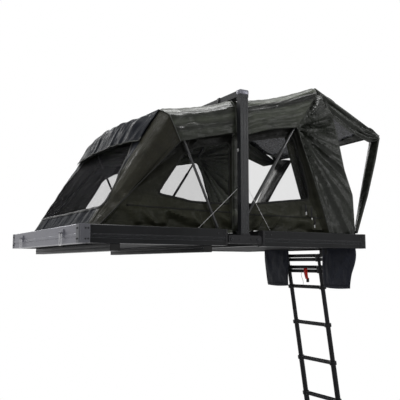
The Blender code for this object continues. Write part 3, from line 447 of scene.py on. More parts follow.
@dataclass(frozen=True)
class Moulded:
    """Moulded plastic or rubber with a pebbled grain."""

    name: str
    dark: Point = (0.012, 0.012, 0.0125)
    light: Point = (0.03, 0.03, 0.032)
    roughness: float = 0.55
    pebble: float = 420.0
    depth: float = 0.0005
    gloss: float = 0.16

    def build(self) -> Finish:
        """Makes the material."""
        shader = Shader(self.name)
        cells = shader.node("TexVoronoi", {"feature": "SMOOTH_F1"}, Scale=self.pebble)
        shader.join(shader.place(), cells.inputs["Vector"])
        patches = shader.noise(14.0, 5.0)
        rounded, edges = shader.worn_edges(0.002)
        colour = shader.ramp(patches, ((0.35, self.dark), (0.7, self.light)))
        colour = shader.mix(shader.math("MULTIPLY", edges, 0.5), colour, tuple(c * 2.6 for c in self.light))
        normal = shader.bump(cells.outputs["Distance"], self.depth, 0.8, rounded)
        roughness = shader.span(patches, self.roughness - 0.06, self.roughness + 0.08, 0.3, 0.7)
        shader.set(Specular_IOR_Level=self.gloss)
        return shader.finish(colour, roughness, normal)


@dataclass(frozen=True)
class BareMetal:
    """Bright steel with fine scratches."""

    name: str = "bright_steel"
    colour: Point = (0.55, 0.55, 0.56)

    def build(self) -> Finish:
        """Makes the material."""
        shader = Shader(self.name)
        smudge = shader.noise(35.0, 4.0)
        scratch = shader.noise(30.0, 3.0, shader.place((1.0, 18.0, 9.0)))
        rounded, _ = shader.worn_edges(0.0008)
        colour = shader.ramp(smudge, ((0.3, tuple(c * 0.75 for c in self.colour)), (0.7, self.colour)))
        shader.set(Metallic=1.0)
        roughness = shader.span(smudge, 0.2, 0.38, 0.3, 0.7)
        return shader.finish(colour, roughness, shader.bump(scratch, 0.00008, 0.5, rounded))


@dataclass(frozen=True)
class Webbing:
    """Woven tape: ribs across its length and a soft edge."""

    name: str
    colour: Point
    rib: float = 260.0

    def build(self) -> Finish:
        """Makes the material."""
        shader = Shader(self.name)
        ribs = shader.node("TexWave", {"bands_direction": "Z"}, Scale=self.rib, Distortion=1.0, Detail=1.0)
        shader.join(shader.place(), ribs.inputs["Vector"])
        patches = shader.noise(60.0, 3.0)
        shade = tuple(c * 0.55 for c in self.colour)
        colour = shader.mix(shader.span(ribs.outputs["Fac"], 0.0, 0.6), self.colour, shade)
        colour = shader.mix(shader.span(patches, 0.0, 0.3, 0.4, 0.8), colour, shade)
        shader.set(Sheen_Weight=0.03, Specular_IOR_Level=0.15)
        return shader.finish(colour, 0.62, shader.bump(ribs.outputs["Fac"], 0.0004, 0.7))


@dataclass(frozen=True)
class ClearFilm:
    """The skylight's clear film: small creases in its surface, and pale mottles of painted reflection in its colour."""

    name: str = "skylight_film"

    def build(self) -> Finish:
        """Makes the material."""
        shader = Shader(self.name)
        creases_and_painted_reflection = shader.noise(55.0, 5.0, rough=0.7, distortion=0.8)
        # Painted reflection: the pale mottles in the colour stand for the film's reflections; the same noise bumps its
        # creases.
        colour = shader.ramp(creases_and_painted_reflection, ((0.42, (0.012, 0.013, 0.017)), (0.64, (0.16, 0.165, 0.19))))
        normal = shader.bump(creases_and_painted_reflection, 0.002, 0.6)
        shader.set(Alpha=0.78, Specular_IOR_Level=0.08)
        return shader.finish(colour, 0.6, normal)


@dataclass(frozen=True)
class PaleGround:
    """The studio floor: pale, kept white where it meets the backdrop, with the tent's soft shadow."""

    name: str = "studio_floor"
    clear: float = 1.8
    fade: float = 3.7

    def build(self) -> Finish:
        """Makes the material."""
        shader = Shader(self.name)
        shader.set(Specular_IOR_Level=0.1)
        coordinates = shader.node("TexCoord")
        length = shader.node("VectorMath", {"operation": "LENGTH"})
        shader.join(coordinates.outputs["Object"], length.inputs[0])
        far_off = shader.span(length.outputs["Value"], 0.0, 1.0, self.clear, self.fade)
        path = shader.node("LightPath")
        seen = shader.math("MAXIMUM", path.outputs["Is Camera Ray"], path.outputs["Is Glossy Ray"])
        seen = shader.math("MAXIMUM", seen, path.outputs["Is Transmission Ray"])
        white = shader.node("Emission", Color=(1.0, 1.0, 1.0, 1.0), Strength=1.0)
        blend = shader.node("MixShader")
        shader.join(shader.math("MULTIPLY", far_off, seen), blend.inputs["Fac"])
        shader.join(shader.surface.outputs["BSDF"], blend.inputs[1])
        shader.join(white.outputs["Emission"], blend.inputs[2])
        shader.join(blend.outputs["Shader"], shader.output.inputs["Surface"])
        speck = shader.noise(9.0, 3.0)
        colour = shader.ramp(speck, ((0.3, (0.8, 0.8, 0.8)), (0.7, (0.84, 0.84, 0.84))))
        return shader.finish(colour, 0.9)


class Wardrobe:
    """Every finish of the tent, built once."""

    def __init__(self) -> None:
        """Builds the materials."""
        roofing = ((0.01, 0.0112, 0.0085), (0.027, 0.03, 0.022), 0.34, 0.003)
        # The base roof's bands are painted highlight and painted shade: pale where folds face the overhead light, dark
        # where they face away.
        self.roof = Canvas("roof_canvas", *roofing, 0.17, painted_light_bands=(
            (0.0, 0.8), (0.05, 1.5), (0.08, 0.55), (0.11, 1.2), (0.135, 2.6), (0.165, 0.9), (0.22, 0.45), (0.26, 1.8),
            (0.3, 1.6), (0.33, 1.0)), girth=1.76).build()
        # The fold-out roof's bands paint a dark shadow band under the crown between bands of painted highlight.
        self.fold_roof = Canvas("fold_roof_canvas", *roofing, 0.15, painted_light_bands=(
            (0.0, 1.3), (0.1, 1.9), (0.15, 2.3), (0.168, 1.2), (0.182, 0.22), (0.235, 0.22), (0.252, 2.6),
            (0.285, 2.0), (0.31, 1.1)), girth=1.9).build()
        self.end = Canvas("end_canvas", (0.0045, 0.0053, 0.008), (0.0098, 0.0113, 0.0165), 0.55, 0.004, 0.03).build()
        self.facet = Canvas("facet_canvas", (0.0115, 0.011, 0.008), (0.025, 0.024, 0.0165), 0.4, 0.006, 0.08,
                            deep=0.01).build()
        # The wall's bands are painted light: a paler skirt, and painted shade darkening towards the head under the
        # eave.
        self.wall = Canvas("wall_canvas", (0.01, 0.0105, 0.007), (0.025, 0.0255, 0.0165), 0.38, 0.006, 0.08,
                           (7.0, 26.0), 0.008, ((0.02, 1.0), (0.07, 1.35), (0.13, 1.25), (0.24, 0.65), (0.42, 0.45),
                                   (0.54, 0.1))).build()
        self.gusset = Canvas("gusset_canvas", (0.0065, 0.0075, 0.0058), (0.018, 0.0208, 0.0152), 0.25, 0.005, 0.2,
                             (12.0, 22.0)).build()
        # The inside face is painted pale: painted light, standing for light that shines through the canvas.
        self.lining = Canvas("lining_glow_canvas", (0.085, 0.092, 0.075), (0.15, 0.16, 0.13), 0.45, 0.003, 0.1,
                             deep=0.003).build()
        self.bag = Canvas("bag_canvas", (0.006, 0.007, 0.012), (0.013, 0.015, 0.024), 0.55, 0.008, 0.15).build()
        self.pad = Canvas("mattress_canvas", (0.055, 0.056, 0.06), (0.11, 0.112, 0.118), 0.75, 0.004).build()
        self.binding = Webbing("binding_tape", (0.012, 0.0125, 0.0115)).build()
        self.edging = Webbing("edging_tape", (0.006, 0.0062, 0.0052)).build()
        self.piping = Webbing("piping_tape", (0.075, 0.078, 0.072), 400.0).build()
        self.strap = Webbing("black_strap", (0.01, 0.01, 0.011)).build()
        self.red = Webbing("red_strap", (0.6, 0.016, 0.01)).build()
        self.net = Net().build()
        self.film = ClearFilm().build()
        self.shell = Coat("shell_coat").build()
        self.post = Coat("post_coat", (0.01, 0.0107, 0.012), (0.017, 0.018, 0.02), (0.22, 0.22, 0.23), 0.4,
                         gloss=0.2).build()
        self.end_metal = Coat("end_anodised", (0.105, 0.105, 0.125), (0.17, 0.17, 0.195), (0.42, 0.42, 0.46), 0.34, 0.7,
                              brushed=True).build()
        self.corner = Coat("corner_cast", (0.075, 0.076, 0.085), (0.12, 0.12, 0.135), (0.34, 0.34, 0.36), 0.45,
                           0.7).build()
        self.pole = Coat("pole_coat", (0.012, 0.012, 0.013), (0.024, 0.024, 0.026), roughness=0.28,
                         gloss=0.4).build()
        self.rung = Coat("ladder_coat", (0.006, 0.006, 0.007), (0.013, 0.013, 0.015), roughness=0.4).build()
        self.bracket = Moulded("bracket_plastic", (0.007, 0.007, 0.008), (0.02, 0.02, 0.022), 0.55, 240.0,
                               0.0009).build()
        self.rubber = Moulded("black_rubber", (0.009, 0.009, 0.009), (0.018, 0.018, 0.018), 0.7, 500.0,
                              0.0003).build()
        self.board = Moulded("floor_board", (0.01, 0.01, 0.011), (0.022, 0.022, 0.024), 0.6, 180.0, 0.0004,
                             0.04).build()
        self.steel = BareMetal().build()
        # White painted on small pulls and hooks stands for their glints: painted highlight.
        self.pull = Moulded("white_pull", (0.45, 0.45, 0.45), (0.62, 0.62, 0.62), 0.4).build()


# Pieces


def linked(name: str, data: bpy.types.ID) -> Piece:
    """Makes an object of a mesh, curve, light or camera and puts it into the scene."""
    made = bpy.data.objects.new(name, data)
    bpy.context.scene.collection.objects.link(made)
    return made


def paint(bm: Mesh, start: int, slot: int) -> None:
    """Gives the faces made since a count of them one material slot."""
    bm.faces.ensure_lookup_table()
    for face in bm.faces[start:]:
        face.material_index = slot


def finish_piece(name: str, bm: Mesh, finishes: Sequence[Finish], smooth: float = 40.0) -> Piece:
    """Turns a tent bmesh into an object in the frame.

    Args:
        name: the piece's name.
        bm: its mesh in tent coordinates, freed here.
        finishes: the materials of its slots.
        smooth: faces that meet at less than this angle, in degrees, are shaded as one; 0 leaves them flat.

    Returns:
        The object.
    """
    bm.transform(DATUM.shift())
    mesh = bpy.data.meshes.new(name)
    bm.to_mesh(mesh)
    bm.free()
    for finish in finishes:
        mesh.materials.append(finish)
    if smooth:
        mesh.shade_smooth()
        mesh.set_sharp_from_angle(angle=math.radians(smooth))
    return linked(name, mesh)


def settle(piece: Piece) -> Piece:
    """Applies a piece's modifiers, so that its mesh is final.

    Args:
        piece: the object, changed in place.

    Returns:
        The object.
    """
    bpy.context.view_layer.update()
    graph = bpy.context.evaluated_depsgraph_get()
    mesh = bpy.data.meshes.new_from_object(piece.evaluated_get(graph), depsgraph=graph)
    mesh.name = piece.name
    old = piece.data
    piece.modifiers.clear()
    piece.data = mesh
    bpy.data.meshes.remove(old)
    return piece


def thicken(piece: Piece, thickness: float = CLOTH, offset: float = -1.0, lining: int = 0) -> Piece:
    """Gives a sheet its thickness and applies it.

    Args:
        piece: the sheet.
        thickness: in metres.
        offset: -1 inwards, 0 to both sides, 1 outwards.
        lining: how many slots further the inside's finish is.

    Returns:
        The sheet.
    """
    wall = piece.modifiers.new("cloth", "SOLIDIFY")
    wall.material_offset = lining
    wall.thickness = thickness
    wall.offset = offset
    return settle(piece)


def add_box(bm: Mesh, low: Point, high: Point, bevel: float = 0.0) -> list[bmesh.types.BMVert]:
    """Adds a box between any two opposite corners, with bevelled edges if asked.

    Args:
        bm: the mesh that it joins.
        low: one corner.
        high: the opposite corner.
        bevel: the edges' width, or 0.

    Returns:
        The vertices made.
    """
    size = [abs(length) for length in Vector(high) - Vector(low)]
    matrix = Matrix.Translation((Vector(high) + Vector(low)) / 2) @ Matrix.Diagonal((*size, 1.0))
    made = bmesh.ops.create_cube(bm, size=1.0, matrix=matrix)["verts"]
    if bevel:
        edges = list({edge for vert in made for edge in vert.link_edges})
        made = bmesh.ops.bevel(bm, geom=edges, offset=bevel, segments=2, profile=0.5, affect="EDGES",
                               material=-1)["verts"]
    return made


def add_rod(bm: Mesh, start: Point, end: Point, radius: float, tip: float | None = None,
            sides: int = 16) -> list[bmesh.types.BMVert]:
    """Adds a round bar or a cone between two points.

    Args:
        bm: the mesh that it joins.
        start: the first end.
        end: the other end.
        radius: at the start.
        tip: the radius at the end, or None for the same.
        sides: of its outline.

    Returns:
        The vertices made.
    """
    one, two = Vector(start), Vector(end)
    turn = (two - one).to_track_quat("Z", "Y").to_matrix().to_4x4()
    matrix = Matrix.Translation((one + two) / 2) @ turn
    return bmesh.ops.create_cone(bm, cap_ends=True, segments=sides, radius1=radius, depth=(two - one).length,
                                 radius2=radius if tip is None else tip, matrix=matrix)["verts"]


def add_bolt(bm: Mesh, at: Point, out: Point, radius: float, height: float = 0.003) -> None:
    """Adds a socket-head screw: a domed head with a hexagonal pit.

    Args:
        bm: the mesh that it joins.
        at: the middle of its seat.
        out: the way it faces.
        radius: the head's radius.
        height: how far it stands proud.
    """
    at, out = Vector(at), Vector(out).normalized()
    add_rod(bm, at - out * 0.001, at + out * height * 0.7, radius, sides=20)
    add_rod(bm, at + out * height * 0.7, at + out * height, radius, radius * 0.78, 20)
    add_rod(bm, at + out * height, at + out * (height + 0.0003), radius * 0.5, radius * 0.38, 6)


def tube(name: str, points: Sequence[Point], radius: float, finish: Finish, closed: bool = False) -> Piece:
    """Makes a bent round tube along tent points, as a mesh.

    Args:
        name: the piece's name.
        points: its centre line.
        radius: its radius.
        finish: its material.
        closed: whether it joins up.

    Returns:
        The object.
    """
    curve = bpy.data.curves.new(name, "CURVE")
    curve.dimensions = "3D"
    curve.bevel_depth = radius
    curve.bevel_resolution = 2
    curve.use_fill_caps = True
    curve.resolution_u = 1
    line = curve.splines.new("POLY")
    line.points.add(len(points) - 1)
    line.use_cyclic_u = closed
    for spot, point in zip(line.points, points):
        spot.co = (*DATUM.world(point), 1.0)
    maker = linked(name + "_curve", curve)
    graph = bpy.context.evaluated_depsgraph_get()
    mesh = bpy.data.meshes.new_from_object(maker.evaluated_get(graph), depsgraph=graph)
    bpy.data.objects.remove(maker)
    bpy.data.curves.remove(curve)
    mesh.name = name
    mesh.materials.clear()
    mesh.materials.append(finish)
    mesh.shade_smooth()
    return linked(name, mesh)


def join_pieces(name: str, pieces: Sequence[Piece]) -> Piece:
    """Joins several mesh pieces into one, keeping their materials.

    Args:
        name: the new piece's name.
        pieces: the pieces, removed here.

    Returns:
        The piece.
    """
    bm = bmesh.new()
    finishes: list[Finish] = []
    for piece in pieces:
        start = len(bm.faces)
        bm.from_mesh(piece.data)
        bm.faces.ensure_lookup_table()
        slots = []
        for finish in piece.data.materials:
            if finish not in finishes:
                finishes.append(finish)
            slots.append(finishes.index(finish))
        for face in bm.faces[start:]:
            face.material_index = slots[face.material_index] if slots else 0
    mesh = bpy.data.meshes.new(name)
    bm.to_mesh(mesh)
    bm.free()
    for finish in finishes:
        mesh.materials.append(finish)
    for piece in pieces:
        bpy.data.objects.remove(piece)
    return linked(name, mesh)


class Rib:
    """A smooth line that cloth is stretched over, read by shares from 0 to 1."""

    def __init__(self, knots: Sequence[Point], shares: Sequence[float] | None = None, round_off: int = 2,
                 samples: int = 160) -> None:
        """Samples the line.

        Args:
            knots: its points.
            shares: the share at each knot, or None to share by length.
            round_off: how often corners are softened.
            samples: points kept.
        """
        points = [Vector(knot) for knot in knots]
        if shares is None:
            lengths = [0.0]
            for one, two in zip(points, points[1:]):
                lengths.append(lengths[-1] + (two - one).length)
            shares = [length / lengths[-1] for length in lengths]
        self.samples: list[Vector] = []
        index = 0
        for step in range(samples + 1):
            share = step / samples
            while index < len(shares) - 2 and share > shares[index + 1]:
                index += 1
            local = (share - shares[index]) / (shares[index + 1] - shares[index])
            self.samples.append(points[index].lerp(points[index + 1], local))
        for _ in range(round_off):
            inner = [(a + b * 2 + c) / 4 for a, b, c in zip(self.samples, self.samples[1:], self.samples[2:])]
            self.samples = [self.samples[0], *inner, self.samples[-1]]

    def at(self, share: float) -> Vector:
        """The point at a share."""
        place = min(max(share, 0.0), 1.0) * (len(self.samples) - 1)
        index = min(int(place), len(self.samples) - 2)
        return self.samples[index].lerp(self.samples[index + 1], place - index)


def loft(ribs: Sequence[Rib], stations: Sequence[float] | None = None) -> Place:
    """Gives the surface that is stretched over several ribs.

    Args:
        ribs: the lines, in order.
        stations: where each lies from 0 to 1, or None for even steps.

    Returns:
        The place on the surface at a share along the ribs and a share across them.
    """
    spots = list(stations or [index / (len(ribs) - 1) for index in range(len(ribs))])

    def place(along: float, across: float) -> Vector:
        """The point of the surface."""
        index = 0
        while index < len(spots) - 2 and across > spots[index + 1]:
            index += 1
        local = (across - spots[index]) / (spots[index + 1] - spots[index])
        one, two = ribs[index].at(along), ribs[index + 1].at(along)
        if len(ribs) == 2:
            return one.lerp(two, local)
        before = ribs[index - 1].at(along) if index else one * 2 - two
        after = ribs[index + 2].at(along) if index + 2 < len(ribs) else two * 2 - one
        t, t2, t3 = local, local * local, local ** 3
        return (one * 2 + (two - before) * t + (before * 2 - one * 5 + two * 4 - after) * t2
                + (one * 3 - before - two * 3 + after) * t3) / 2

    return place


def mirrored(knots: Sequence[Point]) -> list[Point]:
    """A near-side line run on over the middle to the far side."""
    whole = list(knots)
    start = len(whole) - 2 if abs(whole[-1][1]) < 1e-9 else len(whole) - 1
    return whole + [(x, -y, z) for x, y, z in reversed(whole[:start + 1])]


def crease(along: float, across: float, seed: float, fine: float, stretch: float = 6.0) -> float:
    """Long folds of cloth, from -1 to 1.

    Args:
        along: place along the folds, in metres.
        across: place across the folds, in metres.
        seed: which cloth it is.
        fine: folds per metre across.
        stretch: how much longer a fold is than it is wide.

    Returns:
        The height share.
    """
    value = noise.noise(Vector((across * fine, along * fine / stretch, seed)))
    value += 0.45 * noise.noise(Vector((across * fine * 2.1 + 7.0, along * fine / stretch * 1.7, seed + 3.0)))
    return value


def crumple(point: Vector, seed: float, size: float) -> float:
    """Sharp-ridged creases that run every way, from -1 to 1."""
    spot = point / size + Vector((seed, seed * 1.7, -seed))
    ridge = 1.0 - 2.2 * abs(noise.noise(spot))
    return ridge * 0.7 + 0.4 * noise.noise(spot * 2.3)


def ridged(along: float, across: float, seed: float, fine: float, stretch: float = 6.0) -> float:
    """Long folds as crease gives, but with sharp crests, from -1 to 1."""
    value = noise.noise(Vector((across * fine, along * fine / stretch, seed)))
    return 1.0 - 2.0 * min(abs(value) * 2.6, 1.0) ** 0.8


def ease(value: float) -> float:
    """Smooth step from 0 to 1."""
    value = min(max(value, 0.0), 1.0)
    return value * value * (3.0 - 2.0 * value)


def rim(share: float, width: float) -> float:
    """Rises from 0 at both ends of a share to 1 inside them."""
    return ease(min(share, 1.0 - share) / width)


def inside(point: Flat, outline: Sequence[Flat]) -> bool:
    """Whether a flat point lies in an outline.

    Args:
        point: the point.
        outline: the corners in order.

    Returns:
        True inside it.
    """
    across, up = point
    hit = False
    for (x1, y1), (x2, y2) in zip(outline, [*outline[1:], outline[0]]):
        if (y1 > up) != (y2 > up) and across < (x2 - x1) * (up - y1) / (y2 - y1) + x1:
            hit = not hit
    return hit


def nearest_on(point: Flat, outline: Sequence[Flat]) -> Flat:
    """The nearest point of an outline.

    Args:
        point: where to look from.
        outline: the corners in order.

    Returns:
        The point on the outline.
    """
    spot = Vector(point)
    found = []
    for one, two in zip(outline, [*outline[1:], outline[0]]):
        a, b = Vector(one), Vector(two)
        run = b - a
        t = min(max((spot - a).dot(run) / max(run.length_squared, 1e-12), 0.0), 1.0)
        found.append(a + run * t)
    return tuple(min(found, key=lambda here: (spot - here).length))


def round_outline(outline: Sequence[Flat], radius: float, step: float = 0.012) -> list[Flat]:
    """Rounds an outline's corners and samples it evenly.

    Args:
        outline: its corners.
        radius: the length cut off each corner.
        step: the spacing of the samples.

    Returns:
        The points.
    """
    dense: list[Vector] = []
    count = len(outline)
    for index in range(count):
        here = Vector(outline[index])
        before, after = Vector(outline[index - 1]), Vector(outline[(index + 1) % count])
        cut = min(radius, (before - here).length * 0.45, (after - here).length * 0.45)
        start, end = here + (before - here).normalized() * cut, here + (after - here).normalized() * cut
        for turn in range(7):
            t = turn / 6
            dense.append(start * (1 - t) ** 2 + here * 2 * t * (1 - t) + end * t * t)
    points: list[Flat] = []
    for one, two in zip(dense, [*dense[1:], dense[0]]):
        parts = max(int((two - one).length / step), 1)
        points += [tuple(one.lerp(two, part / parts)) for part in range(parts)]
    return points


class ClothSheet:
    """Cloth made of panels that are stretched over surfaces and welded together."""

    def __init__(self, name: str) -> None:
        """Starts an empty sheet."""
        self.name = name
        self.bm = bmesh.new()
        self.bm.loops.layers.uv.new("UVMap")

    def panel(self, place: Place, columns: int, rows: int, size: Flat, fold: Fold | None = None,
              slot: int = 0) -> None:
        """Adds one panel.

        Args:
            place: the surface, over 0..1 along and 0..1 across.
            columns: faces along.
            rows: faces across.
            size: metres along and across, for the weave.
            fold: height of the folds above the surface at a point and its shares.
            slot: the material slot.
        """
        layer = self.bm.loops.layers.uv.active
        made = bmesh.ops.create_grid(self.bm, x_segments=columns, y_segments=rows, size=0.5, calc_uvs=True)["verts"]
        shares = {vert: (vert.co.x + 0.5, vert.co.y + 0.5) for vert in made}
        faces = {face for vert in made for face in vert.link_faces}
        for face in faces:
            face.material_index = slot
            for loop in face.loops:
                along, across = shares[loop.vert]
                loop[layer].uv = (along * size[0], across * size[1])
        step = 0.004
        for vert, (along, across) in shares.items():
            point = place(along, across)
            if fold:
                run = place(min(along + step, 1.0), across) - place(max(along - step, 0.0), across)
                rise = place(along, min(across + step, 1.0)) - place(along, max(across - step, 0.0))
                normal = run.cross(rise)
                if normal.length > 1e-12:
                    point = point + normal.normalized() * fold(point, along, across)
            vert.co = point

    def weld(self, outside: Point, gap: float = 0.0001) -> None:
        """Joins the panels' borders and turns every face outwards.

        Args:
            outside: a point far out on the side that the faces look at.
            gap: how near two points are when they become one.
        """
        bmesh.ops.remove_doubles(self.bm, verts=self.bm.verts, dist=gap)
        bmesh.ops.recalc_face_normals(self.bm, faces=self.bm.faces)
        spot = Vector(outside)
        lean = sum((spot - face.calc_center_median()).dot(face.normal) * face.calc_area() for face in self.bm.faces)
        if lean < 0:
            bmesh.ops.reverse_faces(self.bm, faces=self.bm.faces)

    def carve(self, outline: Sequence[Flat], axes: tuple[int, int], keep: Callable[[Vector], bool],
              net: "ClothSheet") -> None:
        """Cuts a window and puts what was inside it into a net.

        Args:
            outline: the window's edge in the plane of two axes.
            axes: which two coordinates the outline uses.
            keep: whether a point is on the wall that the window is in.
            net: the sheet that takes the inside faces.
        """
        one, two = axes
        inner = [face for face in self.bm.faces
                 if keep(face.calc_center_median())
                 and inside((face.calc_center_median()[one], face.calc_center_median()[two]), outline)]
        taken = set(inner)
        edges = {edge for face in inner for edge in face.edges if any(other not in taken for other in edge.link_faces)}
        for vert in {vert for edge in edges for vert in edge.verts}:
            vert.co[one], vert.co[two] = nearest_on((vert.co[one], vert.co[two]), outline)
        layer, target = self.bm.loops.layers.uv.active, net.bm.loops.layers.uv.active
        copies: dict[bmesh.types.BMVert, bmesh.types.BMVert] = {}
        for face in inner:
            corners = []
            for vert in face.verts:
                if vert not in copies:
                    copies[vert] = net.bm.verts.new(vert.co)
                corners.append(copies[vert])
            made = net.bm.faces.new(corners)
            for old, new in zip(face.loops, made.loops):
                new[target].uv = old[layer].uv
        bmesh.ops.delete(self.bm, geom=inner, context="FACES")

    def surface(self) -> BVHTree:
        """A search tree of the sheet as it is now."""
        return BVHTree.FromBMesh(self.bm)

    def build(self, finishes: Sequence[Finish], thickness: float = CLOTH,
              offset: float = -1.0, lining: int = 0) -> Piece:
        """Makes the object, with its thickness, and notes its flat area.

        Args:
            finishes: the materials of its slots.
            thickness: in metres.
            offset: as in thicken.
            lining: as in thicken.

        Returns:
            The object.
        """
        area = sum(face.calc_area() for face in self.bm.faces)
        piece = finish_piece(self.name, self.bm, finishes, 55.0)
        thicken(piece, thickness, offset, lining)
        piece["cloth_area"] = area
        return piece


def tape(name: str, line: Sequence[tuple[Vector, Vector]], width: float, finish: Finish,
         closed: bool = True) -> Piece:
    """Makes a sewn tape that lies along a line on cloth, with a stitched ridge at each edge.

    Args:
        name: the piece's name.
        line: points with the cloth's outward normal at each.
        width: the tape's width.
        finish: its material.
        closed: whether it is a loop.

    Returns:
        The object.
    """
    lift, thickness = 0.0012, 0.0014
    count = len(line)
    bm = bmesh.new()
    layer = bm.loops.layers.uv.new("UVMap")
    across = (-0.5, -0.34, 0.0, 0.34, 0.5)
    crown = (0.0, 0.0007, 0.0003, 0.0007, 0.0)
    columns = count if closed else count - 1
    made = bmesh.ops.create_grid(bm, x_segments=columns, y_segments=4, size=0.5, calc_uvs=True)["verts"]
    shares = {vert: (vert.co.x + 0.5, vert.co.y + 0.5) for vert in made}
    for face in bm.faces:
        for loop in face.loops:
            loop[layer].uv = (shares[loop.vert][0] * count * 0.012, shares[loop.vert][1] * width)
    for vert, (along, aside) in shares.items():
        index = round(along * columns) % count
        row = round(aside * 4)
        here, normal = line[index]
        before = line[index - 1][0] if closed or index else here
        after = line[(index + 1) % count][0] if closed or index < count - 1 else here
        run = (after - before).normalized()
        aside_axis = run.cross(normal).normalized()
        vert.co = here + aside_axis * across[row] * width + normal * (lift + crown[row])
    bmesh.ops.remove_doubles(bm, verts=bm.verts, dist=0.0001)
    bmesh.ops.recalc_face_normals(bm, faces=bm.faces)
    if sum(face.normal.dot(line[0][1]) for face in bm.faces) < 0:
        bmesh.ops.reverse_faces(bm, faces=bm.faces)
    return thicken(finish_piece(name, bm, [finish]), thickness, 0.0)


def on_surface(surface: BVHTree, points: Iterable[Vector], way: Vector) -> list[tuple[Vector, Vector]]:
    """Drops points onto cloth along a direction.

    Args:
        surface: the cloth's search tree.
        points: where the rays start.
        way: the direction of the rays.

    Returns:
        Each hit with its normal, turned against the rays.
    """
    found = []
    for point in points:
        spot, normal, _, _ = surface.ray_cast(point, way)
        if spot is None:
            spot, normal, _, _ = surface.find_nearest(point)
        if normal.dot(way) > 0:
            normal = -normal
        found.append((spot, normal))
    return found


# Cloth of the base half


WALL_IN = 0.612
LEDGE = 0.104
GIRTH_SHARES = (0.0, 0.055, 0.11, 0.165, 0.5, 0.835, 0.89, 0.945, 1.0)


def girth_rib(knots: Sequence[Point]) -> Rib:
    """A roof rib from the near eave over the middle to the far eave."""
    return Rib(mirrored(knots), GIRTH_SHARES, 3)


def slope_fold(seed: float, tucks: Sequence[Point], fade: float, out: float = 1.0) -> Fold:
    """Tucks that run along a roof slope from the hoop towards the spine.

    Args:
        seed: which cloth it is.
        tucks: each one's place from the eave, 0, to the crown, 1, its half width as a share and its depth.
        fade: share of the depth that is left at the spine.
        out: 1 where the surface runs outwards from the spine to the left, -1 to the right.

    Returns:
        The fold height.
    """

    def fold(point: Vector, along: float, across: float) -> float:
        """Height of the cloth over its plain surface."""
        side = min(along, 1.0 - along)
        slope = 1.0 - ease((side - 0.17) / 0.05)
        held = ease(across / 0.05) * ease((1.0 - across) / 0.05)
        drift = 0.1 * noise.noise(Vector((across * 2.2, seed, along * 2.0)))
        drift += 0.03 * noise.noise(Vector((across * 9.0, seed, 1.0)))
        height = 0.0
        for at, wide, deep in tucks:
            away = (side / 0.165 - at - drift) / wide
            height -= deep * (1.0 / (1.0 + away * away * (1.0 + 0.5 * away * away)) - 0.25)
        height *= (fade + (1.0 - fade) * ease(across / 0.8)) * slope * ease(side / 0.02)
        flat = 0.008 * ridged(point.x, point.y, seed, 3.5, 4.0) * (1.0 - slope)
        fine = 0.0026 * ridged(across * 0.6, side * 2.0, seed + 2.0, 30.0, 8.0)
        return out * (height + flat + fine + 0.003 * crumple(point, seed, 0.12)) * held

    return fold


